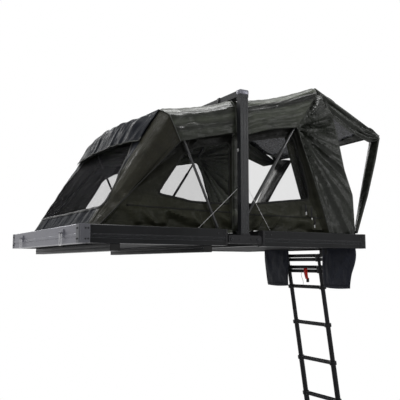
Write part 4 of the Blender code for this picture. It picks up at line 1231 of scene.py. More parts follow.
@dataclass(frozen=True)
class SideWall:
    """A side wall set back under the eave: a ledge at its foot, a soffit at its head, a flank at its free edge.

    The flat pairs are x and z. leg is the pole leg in front of it, as x at z 0 and x for each metre up.
    """

    wardrobe: Wardrobe
    half: str
    foot: Flat
    head: tuple[Flat, Flat]
    leg: Flat
    window: Sequence[Flat]
    seam: tuple[Flat, Flat]
    seed: float

    def free(self, z: float) -> float:
        """The free edge's x at a height."""
        x, top = self.head[1]
        return self.foot[1] + (x - self.foot[1]) * (z - LEDGE) / (top - LEDGE)

    def billow(self, point: Vector) -> float:
        """How far the cloth stands off its plane: a full skirt under the seam, drag lines over it.

        Args:
            point: a point of the plain wall.

        Returns:
            Metres outwards.
        """
        clear = ease((abs(point.x - self.leg[0] - point.z * self.leg[1]) - 0.02) / 0.055)
        skirt = 1.0 - ease((point.z - self.seam[0][1] + 0.03) / 0.045)
        lean = math.copysign(0.8, self.foot[1])
        full = 0.01 + 0.02 * ridged(point.z * 1.2 + point.x * lean, point.x * 0.8 - point.z * lean, self.seed,
                                      8.0, 2.6)
        tight = 0.01 * ridged(point.x * 0.8 + point.z * 0.6, point.x * 0.6 - point.z * 0.8, self.seed + 3.0,
                               6.0, 5.0)
        fine = 0.0035 * crumple(point, self.seed, 0.075)
        out = skirt * full + (1.0 - skirt) * tight + fine
        edge = ease((point.z - LEDGE) / 0.025) * ease(abs(point.x - self.free(point.z)) / 0.05)
        return min(max(out, -0.016), 0.028) * clear * edge * ease(abs(abs(point.x) - 0.035) / 0.04)

    def build(self, side: Side) -> list[Piece]:
        """Makes the wall, its net, its window's binding and the seam over its skirt.

        Args:
            side: which side of the tent.

        Returns:
            The four pieces in that order.
        """
        sign = side.value

        def place(along: float, across: float) -> Vector:
            """The plain wall, from the spine to its free edge and from its foot up."""
            (x1, z1), (x2, z2) = self.head
            foot = self.foot[0] + (self.foot[1] - self.foot[0]) * along
            up = max(across - 0.03, 0.0) / 0.97
            out = 0.041 * max(ease((across - 0.955) / 0.045), ease((along - 0.96) / 0.04))
            if across < 0.03:
                out = max(out, 0.055 * (1.0 - across / 0.03))
            return Vector((foot + (x1 + (x2 - x1) * along - foot) * up, sign * (WALL_IN + out),
                           LEDGE + (z1 + (z2 - z1) * along - LEDGE) * up))

        sheet = ClothSheet(f"{self.half}_wall_{side.word}")
        sheet.panel(place, 90, 70, (0.8, 0.62))
        for vert in sheet.bm.verts:
            if abs(vert.co.y) < WALL_IN + 0.004:
                vert.co.y += sign * self.billow(vert.co)
        outside, inwards = (self.foot[1] / 2, sign * 5.0, 0.3), Vector((0.0, -sign, 0.0))
        sheet.weld(outside)
        surface = sheet.surface()
        net = ClothSheet(f"{self.half}_net_{side.word}")
        rounded = round_outline(self.window, 0.03)
        sheet.carve(rounded, (0, 2), lambda point: True, net)
        line = on_surface(surface, [Vector((x, sign * 3.0, z)) for x, z in rounded], inwards)
        # The fold half's walls take the pale lining inside: painted light shining through the canvas.
        inside_finish = self.wardrobe.lining if self.half == "fold" else self.wardrobe.wall
        wall = sheet.build([self.wardrobe.wall, inside_finish], lining=1)
        net.weld(outside)
        window = net.build([self.wardrobe.net], NETTING)
        binding = tape(f"{self.half}_window_binding_{side.word}", line, 0.012, self.wardrobe.edging)
        (x1, z1), (x2, z2) = self.seam
        points = [Vector((x1 + (x2 - x1) * step / 60, sign * 3.0, z1 + (z2 - z1) * step / 60)) for step in range(61)]
        band = tape(f"{self.half}_wall_seam_{side.word}", on_surface(surface, points, inwards), 0.008,
                    self.wardrobe.edging, closed=False)
        return [wall, window, binding, band]


@dataclass
class BaseCanopy:
    """The fly of the base half, its recessed side walls, the end window and the hood over it."""

    wardrobe: Wardrobe
    spine_knots: Sequence[Point] = ((-0.0352, -0.657, 0.712), (-0.0352, -0.656, 0.795), (-0.0352, -0.652, 0.88),
                                    (-0.0352, -0.6, 0.935), (-0.0352, 0.0, 0.935))
    middle_knots: Sequence[Point] = ((-0.228, -0.657, 0.668), (-0.24, -0.65, 0.745), (-0.25, -0.636, 0.822),
                                     (-0.256, -0.545, 0.868), (-0.256, 0.0, 0.862))
    hoop_knots: Sequence[Point] = ((-0.437, -0.655, 0.612), (-0.474, -0.652, 0.695), (-0.5, -0.632, 0.772),
                                   (-0.513, -0.525, 0.822), (-0.513, 0.0, 0.82))
    foot_knots: Sequence[Point] = ((-0.932, -0.655, 0.1045), (-0.941, -0.62, 0.1045), (-0.951, -0.58, 0.1045),
                                   (-0.96, -0.535, 0.105), (-0.95, 0.0, 0.106))
    ledge_knots: Sequence[Point] = ((-0.945, -0.667, 0.1043), (-1.0, -0.667, 0.1043), (-1.026, -0.64, 0.1043),
                                    (-1.027, -0.56, 0.1043), (-1.027, 0.0, 0.1043))
    window: Sequence[Flat] = ((-0.06, 0.262), (-0.06, 0.655), (-0.3, 0.602), (-0.4, 0.545), (-0.446, 0.473),
                              (-0.56, 0.3), (-0.34, 0.263))
    end_window: Sequence[Flat] = ((-0.585, 0.205), (-0.555, 0.33), (-0.5, 0.49), (-0.4, 0.66), (0.4, 0.66),
                                  (0.5, 0.49), (0.555, 0.33), (0.585, 0.205))

    def fly(self) -> tuple[Piece, Piece, Piece]:
        """Makes the roof, facets and end wall as one sheet, with the end window's net and binding."""
        sheet = ClothSheet("base_fly")
        roof = loft([girth_rib(self.spine_knots), girth_rib(self.middle_knots), girth_rib(self.hoop_knots)],
                    (0.0, 0.47, 1.0))
        tucks = ((0.8, 0.12, 0.012), (0.4, 0.11, 0.014), (0.06, 0.05, 0.008))
        sheet.panel(roof, 200, 54, (1.76, 0.48), slope_fold(2.0, tucks, 0.3))
        top, foot = girth_rib(self.hoop_knots), girth_rib(self.foot_knots)

        def end_fold(point: Vector, along: float, across: float) -> float:
            """Folds that run down the end wall and its facets."""
            side = min(along, 1.0 - along)
            taut = rim(across, 0.16) * ease(side / 0.03)
            down = crease(across, along * 1.7, 5.0, 7.0, 5.0)
            facet = 1.0 - ease((side - 0.14) / 0.06)
            pull = 0.016 * facet * math.sin(math.pi * across) * crease(across, side, 9.0, 16.0, 9.0)
            low = ease((across - 0.78) / 0.12)
            return taut * (0.008 * down + 0.0045 * crumple(point, 4.0, 0.13)) + pull + low * 0.01 * crease(
                across, along * 1.8, 1.0, 12.0, 8.0) * rim(across, 0.05)

        sheet.panel(loft([top, foot]), 200, 84, (1.76, 0.88), end_fold, 1)
        sheet.panel(loft([foot, girth_rib(self.ledge_knots)]), 200, 4, (1.76, 0.07), None, 1)
        sheet.weld((-3.0, 0.0, 3.0), SEAM_GAP)
        for face in sheet.bm.faces:
            if face.material_index == 1 and abs(face.calc_center_median().y) > 0.53:
                face.material_index = 2
        surface = sheet.surface()
        net = ClothSheet("end_net")
        outline = round_outline(self.end_window, 0.05)
        sheet.carve(outline, (1, 2), lambda point: point.x < -0.53, net)
        fly = sheet.build([self.wardrobe.roof, self.wardrobe.end, self.wardrobe.facet])
        net.weld((-3.0, 0.0, 3.0))
        end_net = net.build([self.wardrobe.net], NETTING)
        ahead = Vector((-0.4, 0.0, 0.0))
        starts = [Vector((-0.513 - 0.45 * ((0.82 - z) / 0.745), y, z)) + ahead for y, z in outline]
        line = on_surface(surface, starts, Vector((1.0, 0.0, 0.0)))
        binding = tape("end_window_binding", line, 0.018, self.wardrobe.binding)
        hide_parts("base_canopy")
        return fly, end_net, binding

    @staticmethod
    def over_end(share: float, y: float, lift: float) -> Point:
        """A point a share of the way down the end wall, and metres off it."""
        return (-0.513 - 0.452 * share - 0.856 * lift, y, 0.822 - 0.749 * share + 0.517 * lift)

    def hood(self) -> tuple[Piece, Piece]:
        """Makes the pleated hood over the end window, with its piped hem."""
        places = (-0.532, -0.4, -0.2, 0.0)
        rows = (((0.0, 0.0, 0.0, 0.0), (0.004, 0.006, 0.007, 0.007)),
                ((0.07, 0.06, 0.06, 0.06), (0.006, 0.022, 0.046, 0.054)),
                ((0.15, 0.13, 0.13, 0.13), (0.012, 0.038, 0.058, 0.062)),
                ((0.28, 0.28, 0.272, 0.27), (0.01, 0.03, 0.042, 0.042)))
        ribs = [Rib(mirrored([self.over_end(*spot) for spot in zip(shares, places, lifts)]), round_off=5)
                for shares, lifts in rows]
        place = loft(ribs, (0.0, 0.22, 0.48, 1.0))

        def fold(point: Vector, along: float, across: float) -> float:
            """Pleats that run from the hoop to the hem."""
            pleat = crease(across * 0.3, along, 6.0, 17.0, 3.0)
            return (0.01 * pleat + 0.002 * crumple(point, 2.5, 0.08)) * rim(along, 0.08) * ease(across / 0.2)

        sheet = ClothSheet("end_hood_cloth")
        sheet.panel(place, 130, 34, (1.15, 0.26), fold)
        sheet.weld((-3.0, 0.0, 3.0))
        surface = sheet.surface()
        line = [(0.0, 0.88), (0.0, 0.94), *((step / 90, 1.0) for step in range(85))]
        edge = [surface.find_nearest(place(*spot))[0] + Vector((-0.003, 0.0, -0.002)) for spot in line]
        hood = sheet.build([self.wardrobe.end], CLOTH, 1.0)
        piping = tube("end_hood_piping", [tuple(point) for point in edge], 0.0038, self.wardrobe.piping)
        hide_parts("end_hood")
        return hood, piping

    def seams(self) -> Piece:
        """Makes the piped seams at the hoop and along the facets' free edges."""
        tubes = []
        hoop = girth_rib(self.hoop_knots)
        run = [hoop.at(step / 120) + Vector((-0.002, 0.0, 0.002)) for step in range(121)]
        for side, part in ((Side.NEAR, run[:22]), (Side.FAR, run[99:])):
            points = [tuple(point + Vector((0.0, side.value * 0.003, 0.0))) for point in part]
            tubes.append(tube("hoop_piping_" + side.word, points, 0.003, self.wardrobe.piping))
        for side in Side:
            start, end = Vector((-0.437, side.value * 0.655, 0.612)), Vector((-0.932, side.value * 0.655, 0.106))
            points = [tuple(start.lerp(end, step / 40)) for step in range(41)]
            tubes.append(tube("facet_edge_" + side.word, points, 0.003, self.wardrobe.binding))
        return join_pieces("base_seams", tubes)

    def build(self) -> None:
        fly, end_net, binding = self.fly()
        hood, piping = self.hood()
        wall = SideWall(self.wardrobe, "base", (-0.0352, -0.93), ((-0.0352, 0.728), (-0.448, 0.634)),
                        (-0.1066, -0.4663), self.window, ((-0.76, 0.22), (-0.05, 0.21)), 11.0)
        walls = {side: wall.build(side) for side in Side}
        seams = self.seams()
        for piece in [fly, hood, seams, end_net, binding, piping,
                      *(item for group in walls.values() for item in group)]:
            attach(piece, "base_half")
            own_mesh(piece)
            log.info("made %s", piece.name)


@dataclass
class SpineCloth:
    """The band of cloth under the square hoop and the straps that tie it to the top bar."""

    wardrobe: Wardrobe
    half: float = 0.0352

    def build(self) -> None:
        """Builds and seats the band."""
        whole = mirrored([(0.0, -WALL_IN, 0.08), (0.0, -WALL_IN, 0.69), (0.0, -0.657, 0.712), (0.0, -0.656, 0.795),
                          (0.0, -0.652, 0.88), (0.0, -0.6, 0.935), (0.0, 0.0, 0.935)])
        ribs = [Rib([(x, y, z) for _, y, z in whole], None, 2, 400) for x in (-self.half, self.half)]
        sheet = ClothSheet("spine_band")
        sheet.panel(loft(ribs), 300, 7, (3.1, 0.07),
                    lambda point, along, across: 0.002 * crumple(point, 1.0, 0.08) * rim(across, 0.2))
        sheet.weld((0.0, 0.0, 5.0))
        band = sheet.build([self.wardrobe.roof])
        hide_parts("spine_canopy")
        loops = []
        loop = ((-0.0325, 0.944), (-0.0325, 0.9865), (0.0, 0.9875), (0.0325, 0.9865), (0.0325, 0.944), (0.0, 0.9425))
        for y in (-0.45, -0.15, 0.15, 0.45):
            bm = bmesh.new()
            low = [bm.verts.new((x, y - 0.014, z)) for x, z in loop]
            edges = [bm.edges.new((a, b)) for a, b in zip(low, [*low[1:], low[0]])]
            grown = bmesh.ops.extrude_edge_only(bm, edges=edges)["geom"]
            verts = [item for item in grown if isinstance(item, bmesh.types.BMVert)]
            bmesh.ops.translate(bm, verts=verts, vec=(0, 0.028, 0))
            bmesh.ops.recalc_face_normals(bm, faces=bm.faces)
            loops.append(thicken(finish_piece("hoop_strap", bm, [self.wardrobe.strap]), 0.0012, 1.0))
        straps = join_pieces("hoop_straps", loops)
        for piece in (band, straps):
            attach(piece, "spine")
            log.info("made %s", piece.name)


@dataclass
class FoldCanopy:
    """The fly of the fold-out half with its gussets, its side walls, the awning, its strut sleeves and the near
    window's curtain.
    """

    wardrobe: Wardrobe
    spine_knots: Sequence[Point] = ((0.0352, -0.657, 0.706), (0.0352, -0.656, 0.795), (0.0352, -0.652, 0.88),
                                    (0.0352, -0.6, 0.935), (0.0352, 0.0, 0.935))
    middle_knots: Sequence[Point] = ((0.255, -0.657, 0.772), (0.3, -0.65, 0.87), (0.345, -0.636, 0.965),
                                     (0.37, -0.568, 1.018), (0.37, 0.0, 1.02))
    pole_knots: Sequence[Point] = ((0.473, -0.655, 0.81), (0.574, -0.655, 0.948), (0.66, -0.652, 1.08),
                                   (0.7, -0.598, 1.136), (0.7, 0.0, 1.134))
    seam_knots: Sequence[Point] = ((0.749, -0.655, 0.098), (0.62, -0.655, 0.452), (0.473, -0.655, 0.81),
                                   (0.574, -0.655, 0.948), (0.66, -0.652, 1.08), (0.7003, -0.598, 1.1365))
    edge_knots: Sequence[Point] = ((1.0, -0.655, 0.098), (0.985, -0.655, 0.38), (0.915, -0.65, 0.56),
                                   (0.87, -0.645, 0.76), (0.832, -0.632, 0.93), (0.7003, -0.598, 1.1365))
    gusset_shares: Sequence[float] = (0.0, 0.28, 0.54, 0.72, 0.9, 1.0)
    window: Sequence[Flat] = ((0.075, 0.268), (0.075, 0.683), (0.239, 0.716), (0.442, 0.758), (0.468, 0.74),
                              (0.512, 0.645), (0.545, 0.545), (0.612, 0.335))
    root: Sequence[Point] = ((0.7003, -0.598, 1.1365), (0.703, -0.3, 1.137), (0.704, 0.0, 1.137))
    brow: Sequence[Point] = ((1.01, -0.612, 1.0), (0.985, -0.3, 0.985), (0.98, 0.0, 0.98))
    lip: Sequence[Point] = ((1.313, -0.626, 0.862), (1.25, -0.3, 0.838), (1.235, 0.0, 0.832))
    flap: Sequence[Point] = ((0.832, -0.632, 0.93), (0.997, -0.632, 0.85), (1.189, -0.632, 0.794),
                             (1.31, -0.632, 0.822))

    @staticmethod
    def flipped(knots: Sequence[Point], side: Side) -> list[Point]:
        """Near-side points on either side."""
        return [(x, -side.value * y, z) for x, y, z in knots]

    def fly(self) -> Piece:
        """Makes the roof and both gussets as one sheet."""
        sheet = ClothSheet("fold_fly")
        roof = loft([girth_rib(self.spine_knots), girth_rib(self.middle_knots), girth_rib(self.pole_knots)],
                    (0.0, 0.48, 1.0))
        tucks = ((0.66, 0.16, 0.012), (0.42, 0.05, 0.008), (0.18, 0.05, 0.008))
        sheet.panel(roof, 200, 72, (1.9, 0.7), slope_fold(12.0, tucks, 0.95, -1.0))
        for side in Side:
            sign = side.value
            seam = Rib(self.flipped(self.seam_knots, side), self.gusset_shares, 2)
            edge = Rib(self.flipped(self.edge_knots, side), self.gusset_shares, 3)

            def fold(point: Vector, along: float, across: float, sign: int = sign) -> float:
                """Creases that fan out from the knot at the eave, and crumples low down."""
                away = point - Vector((0.473, sign * 0.655, 0.81))
                reach = away.length
                angle = math.atan2(away.z, away.x)
                fan = ridged(reach * 0.6, angle, 4.0, 5.0, 4.0) + 0.35 * ridged(reach, angle, 9.0, 11.0, 6.0)
                fan *= math.exp(-reach * 1.2) * ease(reach / 0.06)
                rough = crumple(point, 7.0, 0.12) + 0.5 * crumple(point, 3.0, 0.055)
                free = rim(across, 0.1)
                swell = 0.012 * math.sin(math.pi * across) * math.sin(math.pi * min(along / 0.5, 1.0))
                return sign * (free * (0.023 * fan + 0.005 * rough * ease(1.2 - along)) + swell)

            sheet.panel(loft([seam, edge]), 120, 34, (1.35, 0.33), fold, 1)
        sheet.weld((0.4, 0.0, 5.0), SEAM_GAP)
        for face in sheet.bm.faces:
            if face.material_index == 1 and face.normal.y * face.calc_center_median().y < 0:
                face.normal_flip()
        # The inside of the fly takes the pale lining: painted light shining through the canvas.
        fly = sheet.build([self.wardrobe.fold_roof, self.wardrobe.gusset, self.wardrobe.lining], lining=2)
        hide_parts("fold_canopy")
        return fly

    def awning(self) -> list[Piece]:
        """Makes the awning with its side flaps, and the clear film in its top."""
        sheet = ClothSheet("awning_cloth")
        ribs = [Rib(mirrored(knots), None, 6) for knots in (self.root, self.brow, self.lip)]
        roof = loft(ribs)

        def sag(point: Vector, along: float, across: float) -> float:
            """Drag lines from the root's corners to the tips."""
            side = min(along, 1.0 - along)
            edge = 1.0 - ease(side / 0.2)
            line = ridged(across, side, 31.0, 16.0, 6.0)
            return (0.012 * line * (0.4 + 0.6 * edge) + 0.004 * crumple(point, 5.0, 0.09)) * rim(across, 0.12)

        sheet.panel(roof, 108, 58, (1.26, 0.66), sag)
        for side in Side:
            high = Rib(self.flipped([self.root[0], self.brow[0], self.lip[0]], side))
            low = Rib(self.flipped(self.flap, side), None, 5)

            def droop(point: Vector, along: float, across: float) -> float:
                """Long drag folds from the throat to the tip."""
                line = ridged(along, across, 41.0, 3.2, 3.0)
                return (0.015 * line + 0.004 * crumple(point, 6.0, 0.07)) * rim(across, 0.15) * rim(along, 0.12)

            sheet.panel(loft([high, low]), 70, 22, (0.68, 0.2), droop, 1)
        sheet.weld((1.0, 0.0, 6.0), SEAM_GAP)
        for face in sheet.bm.faces:
            outward = Vector((0.3, 0.0, 1.0))
            if face.material_index == 1:
                outward = Vector((0.0, face.calc_center_median().y, 0.0))
            if face.normal.dot(outward) < 0:
                face.normal_flip()
        film = ClothSheet("awning_skylight")
        pane = round_outline([(0.775, -0.545), (1.225, -0.56), (1.18, 0.0), (1.225, 0.56), (0.775, 0.545)], 0.04)
        surface = sheet.surface()
        sheet.carve(pane, (0, 1), lambda point: abs(point.y) < 0.58, film)
        line = on_surface(surface, [Vector((x, y, 3.0)) for x, y in pane], Vector((0.0, 0.0, -1.0)))
        # The awning's underside takes the pale lining: painted light shining through the canvas.
        cloth = sheet.build([self.wardrobe.gusset, self.wardrobe.gusset, self.wardrobe.lining], CLOTH, 0.0, 1)
        film.weld((1.0, 0.0, 6.0))
        skylight = film.build([self.wardrobe.film], NETTING)
        binding = tape("skylight_binding", line, 0.018, self.wardrobe.binding)
        rib = Rib(mirrored(self.lip), None, 6)
        edge = [tuple(rib.at(step / 90) + Vector((0.003, 0.0, -0.002))) for step in range(91)]
        hem = tube("awning_hem", edge, 0.0045, self.wardrobe.binding)
        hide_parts("awning")
        return [cloth, skylight, binding, hem]

    def hanging(self, name: str, line: Sequence[Point], widths: Sequence[float], depths: Sequence[float], seed: float,
                way: Point, finish: Finish, pleats: float) -> Piece:
        """Makes a gathered curtain as a flattened, pleated roll.

        Args:
            name: the piece's name.
            line: its middle line from the top down.
            widths: its half width at each point.
            depths: its half thickness at each point.
            seed: which cloth it is.
            way: the direction of its width.
            finish: its material.
            pleats: folds around it.

        Returns:
            The object.
        """
        even = [index / (len(line) - 1) for index in range(len(line))]
        middle = Rib(line, even)
        wide, deep = (Rib([(value, 0.0, 0.0) for value in values], even) for values in (widths, depths))
        drop = Vector(line[-1]) - Vector(line[0])
        down = drop.normalized()

        def place(along: float, across: float) -> Vector:
            """The roll's surface."""
            angle = math.tau * along
            axis = (Vector(way) - down * down.dot(way)).normalized()
            out = axis.cross(down)
            fold = 1.0 + 0.3 * crease(across, math.sin(angle) * 0.5, seed, pleats, 5.0)
            fold += 0.16 * math.sin(pleats * angle + 5.0 * across + seed)
            half, thick = wide.at(across).x, deep.at(across).x
            return middle.at(across) + axis * math.cos(angle) * half + out * math.sin(angle) * thick * fold

        sheet = ClothSheet(name)
        sheet.panel(place, 56, 74, (2 * sum(widths) / len(widths) * 2.0, drop.length))
        bmesh.ops.remove_doubles(sheet.bm, verts=sheet.bm.verts, dist=0.0002)
        bmesh.ops.recalc_face_normals(sheet.bm, faces=sheet.bm.faces)
        centre = middle.at(0.5)
        lean = sum((face.calc_center_median() - centre).dot(face.normal) for face in sheet.bm.faces)
        if lean < 0:
            bmesh.ops.reverse_faces(sheet.bm, faces=sheet.bm.faces)
        return sheet.build([finish], 0.0015)

    def curtains(self) -> list[Piece]:
        """Makes the sleeves of the awning's struts and the near window's curtain."""
        near = self.hanging("strut_sleeve_near", [(1.303, -0.59, 0.835), (1.225, -0.612, 0.64),
                                                  (1.12, -0.635, 0.38), (1.012, -0.648, 0.112)],
                            (0.054, 0.05, 0.04, 0.018), (0.014, 0.018, 0.016, 0.01), 3.0,
                            (0.1, 1.0, 0.0), self.wardrobe.gusset, 3.0)
        far = self.hanging("strut_sleeve_far", [(1.29, 0.475, 0.835), (1.215, 0.54, 0.64),
                                                (1.115, 0.6, 0.4), (1.012, 0.645, 0.112)],
                           (0.16, 0.12, 0.085, 0.022), (0.016, 0.022, 0.02, 0.01), 8.0,
                           (0.1, 1.0, 0.0), self.wardrobe.facet, 6.0)
        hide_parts("awning_strut_near")
        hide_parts("awning_strut_far")
        tied = self.hanging("window_curtain_near", [(0.455, -0.585, 0.775), (0.52, -0.583, 0.6),
                                                    (0.6, -0.583, 0.38), (0.69, -0.583, 0.13)],
                            (0.04, 0.05, 0.055, 0.05), (0.012, 0.014, 0.014, 0.012), 14.0,
                            (1.0, 0.0, 0.4), self.wardrobe.wall, 5.0)
        return [near, far, tied]

    def toggles(self) -> Piece:
        """Makes the tie straps with their pulls low on the near and far walls; the pulls are painted white as glints.
        """
        bm = bmesh.new()
        for side in Side:
            y = side.value * (WALL_IN + 0.016)
            for x, z, length, lean in ((0.56, 0.292, 0.05, 0.2), (0.612, 0.278, 0.075, 0.1), (0.64, 0.215, 0.06, -0.2)):
                add_box(bm, (x - 0.006, y - 0.002, z - length), (x + 0.006, y + 0.002, z), 0.001)
                # The pull's white is a painted glint.
                start = len(bm.faces)
                add_box(bm, (x - 0.004 + lean * 0.02, y - 0.005, z - length - 0.02),
                        (x + 0.004 + lean * 0.02, y + 0.005, z - length + 0.002), 0.002)
                paint(bm, start, 1)
        return finish_piece("wall_toggles", bm, [self.wardrobe.strap, self.wardrobe.pull])

    def build(self) -> None:
        fly = self.fly()
        wall = SideWall(self.wardrobe, "fold", (0.0352, 0.751), ((0.0352, 0.726), (0.478, 0.838)), (-0.0695, 0.6619),
                        self.window, ((0.05, 0.205), (0.7, 0.205)), 21.0)
        walls = {side: wall.build(side) for side in Side}
        awning, skylight, binding, hem = self.awning()
        near, far, tied = self.curtains()
        toggles = self.toggles()
        for piece in [fly, awning, skylight, binding, hem, near, far, tied, toggles,
                      *(item for group in walls.values() for item in group)]:
            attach(piece, "fold_half")
            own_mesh(piece)
            log.info("made %s", piece.name)


# Bags, mattresses and straps


@dataclass
class BootBags:
    """The two cloth bags under the end of the fold-out half."""

    wardrobe: Wardrobe
    x: float = 0.96
    head: float = 0.004
    drop: float = -0.284

    def bag(self, name: str, top: Flat, low: Flat, seed: float) -> Piece:
        """Makes one bag as a sagging lofted shell with a folded hem.

        Args:
            name: the piece's name.
            top: its two ends in y at the head.
            low: the same at the foot.
            seed: which cloth it is.

        Returns:
            The bag.
        """

        def place(along: float, across: float) -> Vector:
            """The bag's skin: along runs round it, across runs down."""
            angle = math.tau * along
            left = top[0] + (low[0] - top[0]) * ease(across * 1.05 - 0.05)
            right = top[1] + (low[1] - top[1]) * across
            left -= 0.01 * math.sin(math.pi * min(across * 1.6, 1.0))
            middle, half = (left + right) / 2, (right - left) / 2
            belly = 0.0075 + 0.0085 * math.sin(math.pi * min(across * 1.1, 1.0)) ** 0.7
            if across > 0.93:
                belly *= 1.0 - 0.55 * ease((across - 0.93) / 0.07)
            cosine, sine = math.cos(angle), math.sin(angle)
            y = middle + half * math.copysign(abs(cosine) ** 0.55, cosine)
            z = self.head + (self.drop - self.head) * across
            z -= 0.006 * math.sin(math.pi * (y - left) / max(right - left, 0.01)) * ease((across - 0.4) / 0.6) - 0.003
            fold = 0.0075 * crease(z * 2.0, y, seed, 16.0, 4.0) * rim(across, 0.12) * (1.0 - abs(cosine) ** 6)
            x = self.x + math.copysign(abs(sine) ** 0.6, sine) * (belly + fold) - 0.004 * math.sin(math.pi * across)
            x += 0.004 * crease(z, y, seed + 5.0, 9.0, 2.0) * rim(across, 0.2)
            return Vector((x, y, z))

        sheet = ClothSheet(name)
        sheet.panel(place, 120, 58, (0.66, 0.29))
        bmesh.ops.remove_doubles(sheet.bm, verts=sheet.bm.verts, dist=0.0003)
        loops = [edge for edge in sheet.bm.edges if edge.is_boundary]
        bmesh.ops.holes_fill(sheet.bm, edges=loops, sides=0)
        bmesh.ops.recalc_face_normals(sheet.bm, faces=sheet.bm.faces)
        bag = finish_piece(name, sheet.bm, [self.wardrobe.bag], 60.0)
        return bag

    def build(self) -> None:
        """Builds and seats both bags with their straps and hooks."""
        near = self.bag("boot_bag_cloth_near", (-0.688, -0.362), (-0.63, -0.368), 2.0)
        far = self.bag("boot_bag_cloth_far", (0.032, 0.338), (0.038, 0.297), 7.0)
        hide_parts("boot_bag_near")
        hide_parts("boot_bag_far")
        bm = bmesh.new()
        for start, end in ((-0.64, -0.37), (0.045, 0.32)):
            for share in (0.12, 0.5, 0.88):
                y = start + (end - start) * share
                add_box(bm, (self.x - 0.0095, y - 0.011, -0.04), (self.x + 0.0095, y + 0.011, 0.0045), 0.0012)
                add_rod(bm, (self.x + 0.009, y, -0.028), (self.x + 0.0125, y, -0.028), 0.0055, sides=14)
        tabs = finish_piece("boot_bag_tabs", bm, [self.wardrobe.strap])
        bm = bmesh.new()
        for low, high in ((-0.628, -0.37), (0.04, 0.294)):
            for z in (-0.262, -0.268):
                for step in range(26):
                    y = low + (high - low) * (step + 0.5) / 26
                    add_box(bm, (self.x - 0.013, y - 0.003, z - 0.0005), (self.x - 0.0105, y + 0.003, z + 0.0005))
        stitching = finish_piece("boot_bag_stitching", bm, [self.wardrobe.binding], 0)
        for piece in (near, far, tabs, stitching):
            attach(piece, "fold_half")
            log.info("made %s", piece.name)


@dataclass
class Mattresses:
    """The two sleeping pads, swelled by a short cloth simulation and then tufted."""

    wardrobe: Wardrobe
    inner: float = 0.1795
    outer: float = 0.93
    reach: float = 0.598
    low: float = 0.0262
    high: float = 0.08
    voxel: float = 0.01
    cap: float = 0.01

    def core(self) -> Piece:
        """Makes the fold-out half's pad before it swells."""
        bm = bmesh.new()
        add_box(bm, (self.inner + 0.008, -self.reach + 0.008, self.low + 0.004),
                (self.outer - 0.008, self.reach - 0.008, self.high - 0.008), 0.014)
        return finish_piece("mattress_core", bm, [self.wardrobe.pad])

    def swell(self, pad: Piece) -> None:
        """Blows the pad up in place, like a sewn case over foam.

        Args:
            pad: the object.
        """
        remesh = pad.modifiers.new("remesh", "REMESH")
        remesh.mode = "VOXEL"
        remesh.voxel_size = self.voxel
        settle(pad)
        before = [vert.co.copy() for vert in pad.data.vertices]
        cloth = pad.modifiers.new("cloth", "CLOTH")
        cloth.settings.use_pressure = True
        cloth.settings.uniform_pressure_force = 4.0
        cloth.settings.effector_weights.gravity = 0.0
        cloth.settings.quality = 3
        scene = bpy.context.scene
        for number in range(1, 21):
            scene.frame_set(number)
        settle(pad)
        scene.frame_set(1)
        base = DATUM.z
        for vert, old in zip(pad.data.vertices, before):
            move = vert.co - old
            if move.length > self.cap:
                vert.co = old + move.normalized() * self.cap
            x, y = vert.co.x - DATUM.x, vert.co.y
            if old.z > base + (self.low + self.high) / 2:
                tuft = min(math.hypot((x - self.inner) % 0.188 - 0.094, (y + self.reach) % 0.199 - 0.0997), 0.05)
                vert.co.z -= 0.007 * (1.0 - ease(tuft / 0.05))
                vert.co.z += 0.0012 * crumple(vert.co, 3.0, 0.09)
            vert.co.z = min(max(vert.co.z, base + self.low), base + self.high)
        pad.data.shade_smooth()

    def build(self) -> None:
        """Builds both pads, the base one as the mirror of the other, with piping and tufts."""
        fold = self.core()
        self.swell(fold)
        fold.name = fold.data.name = "fold_mattress_pad"
        base = linked("base_mattress_pad", fold.data.copy())
        base.data.name = base.name
        shift = Matrix.Translation((DATUM.x, 0, 0))
        base.data.transform(shift @ Matrix.Diagonal((-1.0, 1.0, 1.0, 1.0)) @ shift.inverted())
        base.data.flip_normals()
        low_x, high_x, reach = self.inner + 0.006, self.outer - 0.006, self.reach - 0.006
        edge = round_outline([(low_x, -reach), (high_x, -reach), (high_x, reach), (low_x, reach)], 0.03, 0.03)
        for pad, body, sign, node in ((base, "base_half", -1.0, "base_mattress"),
                                      (fold, "fold_half", 1.0, "fold_mattress")):
            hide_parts(node)
            ring = [(sign * x, y) for x, y in edge]
            pipes = [tube("pad_piping", [(x, y, z) for x, y in ring], 0.003, self.wardrobe.binding, True)
                     for z in (self.high - 0.01, self.low + 0.01)]
            piping = join_pieces(pad.name + "_piping", pipes)
            for piece in (pad, piping):
                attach(piece, body)
                log.info("made %s", piece.name)


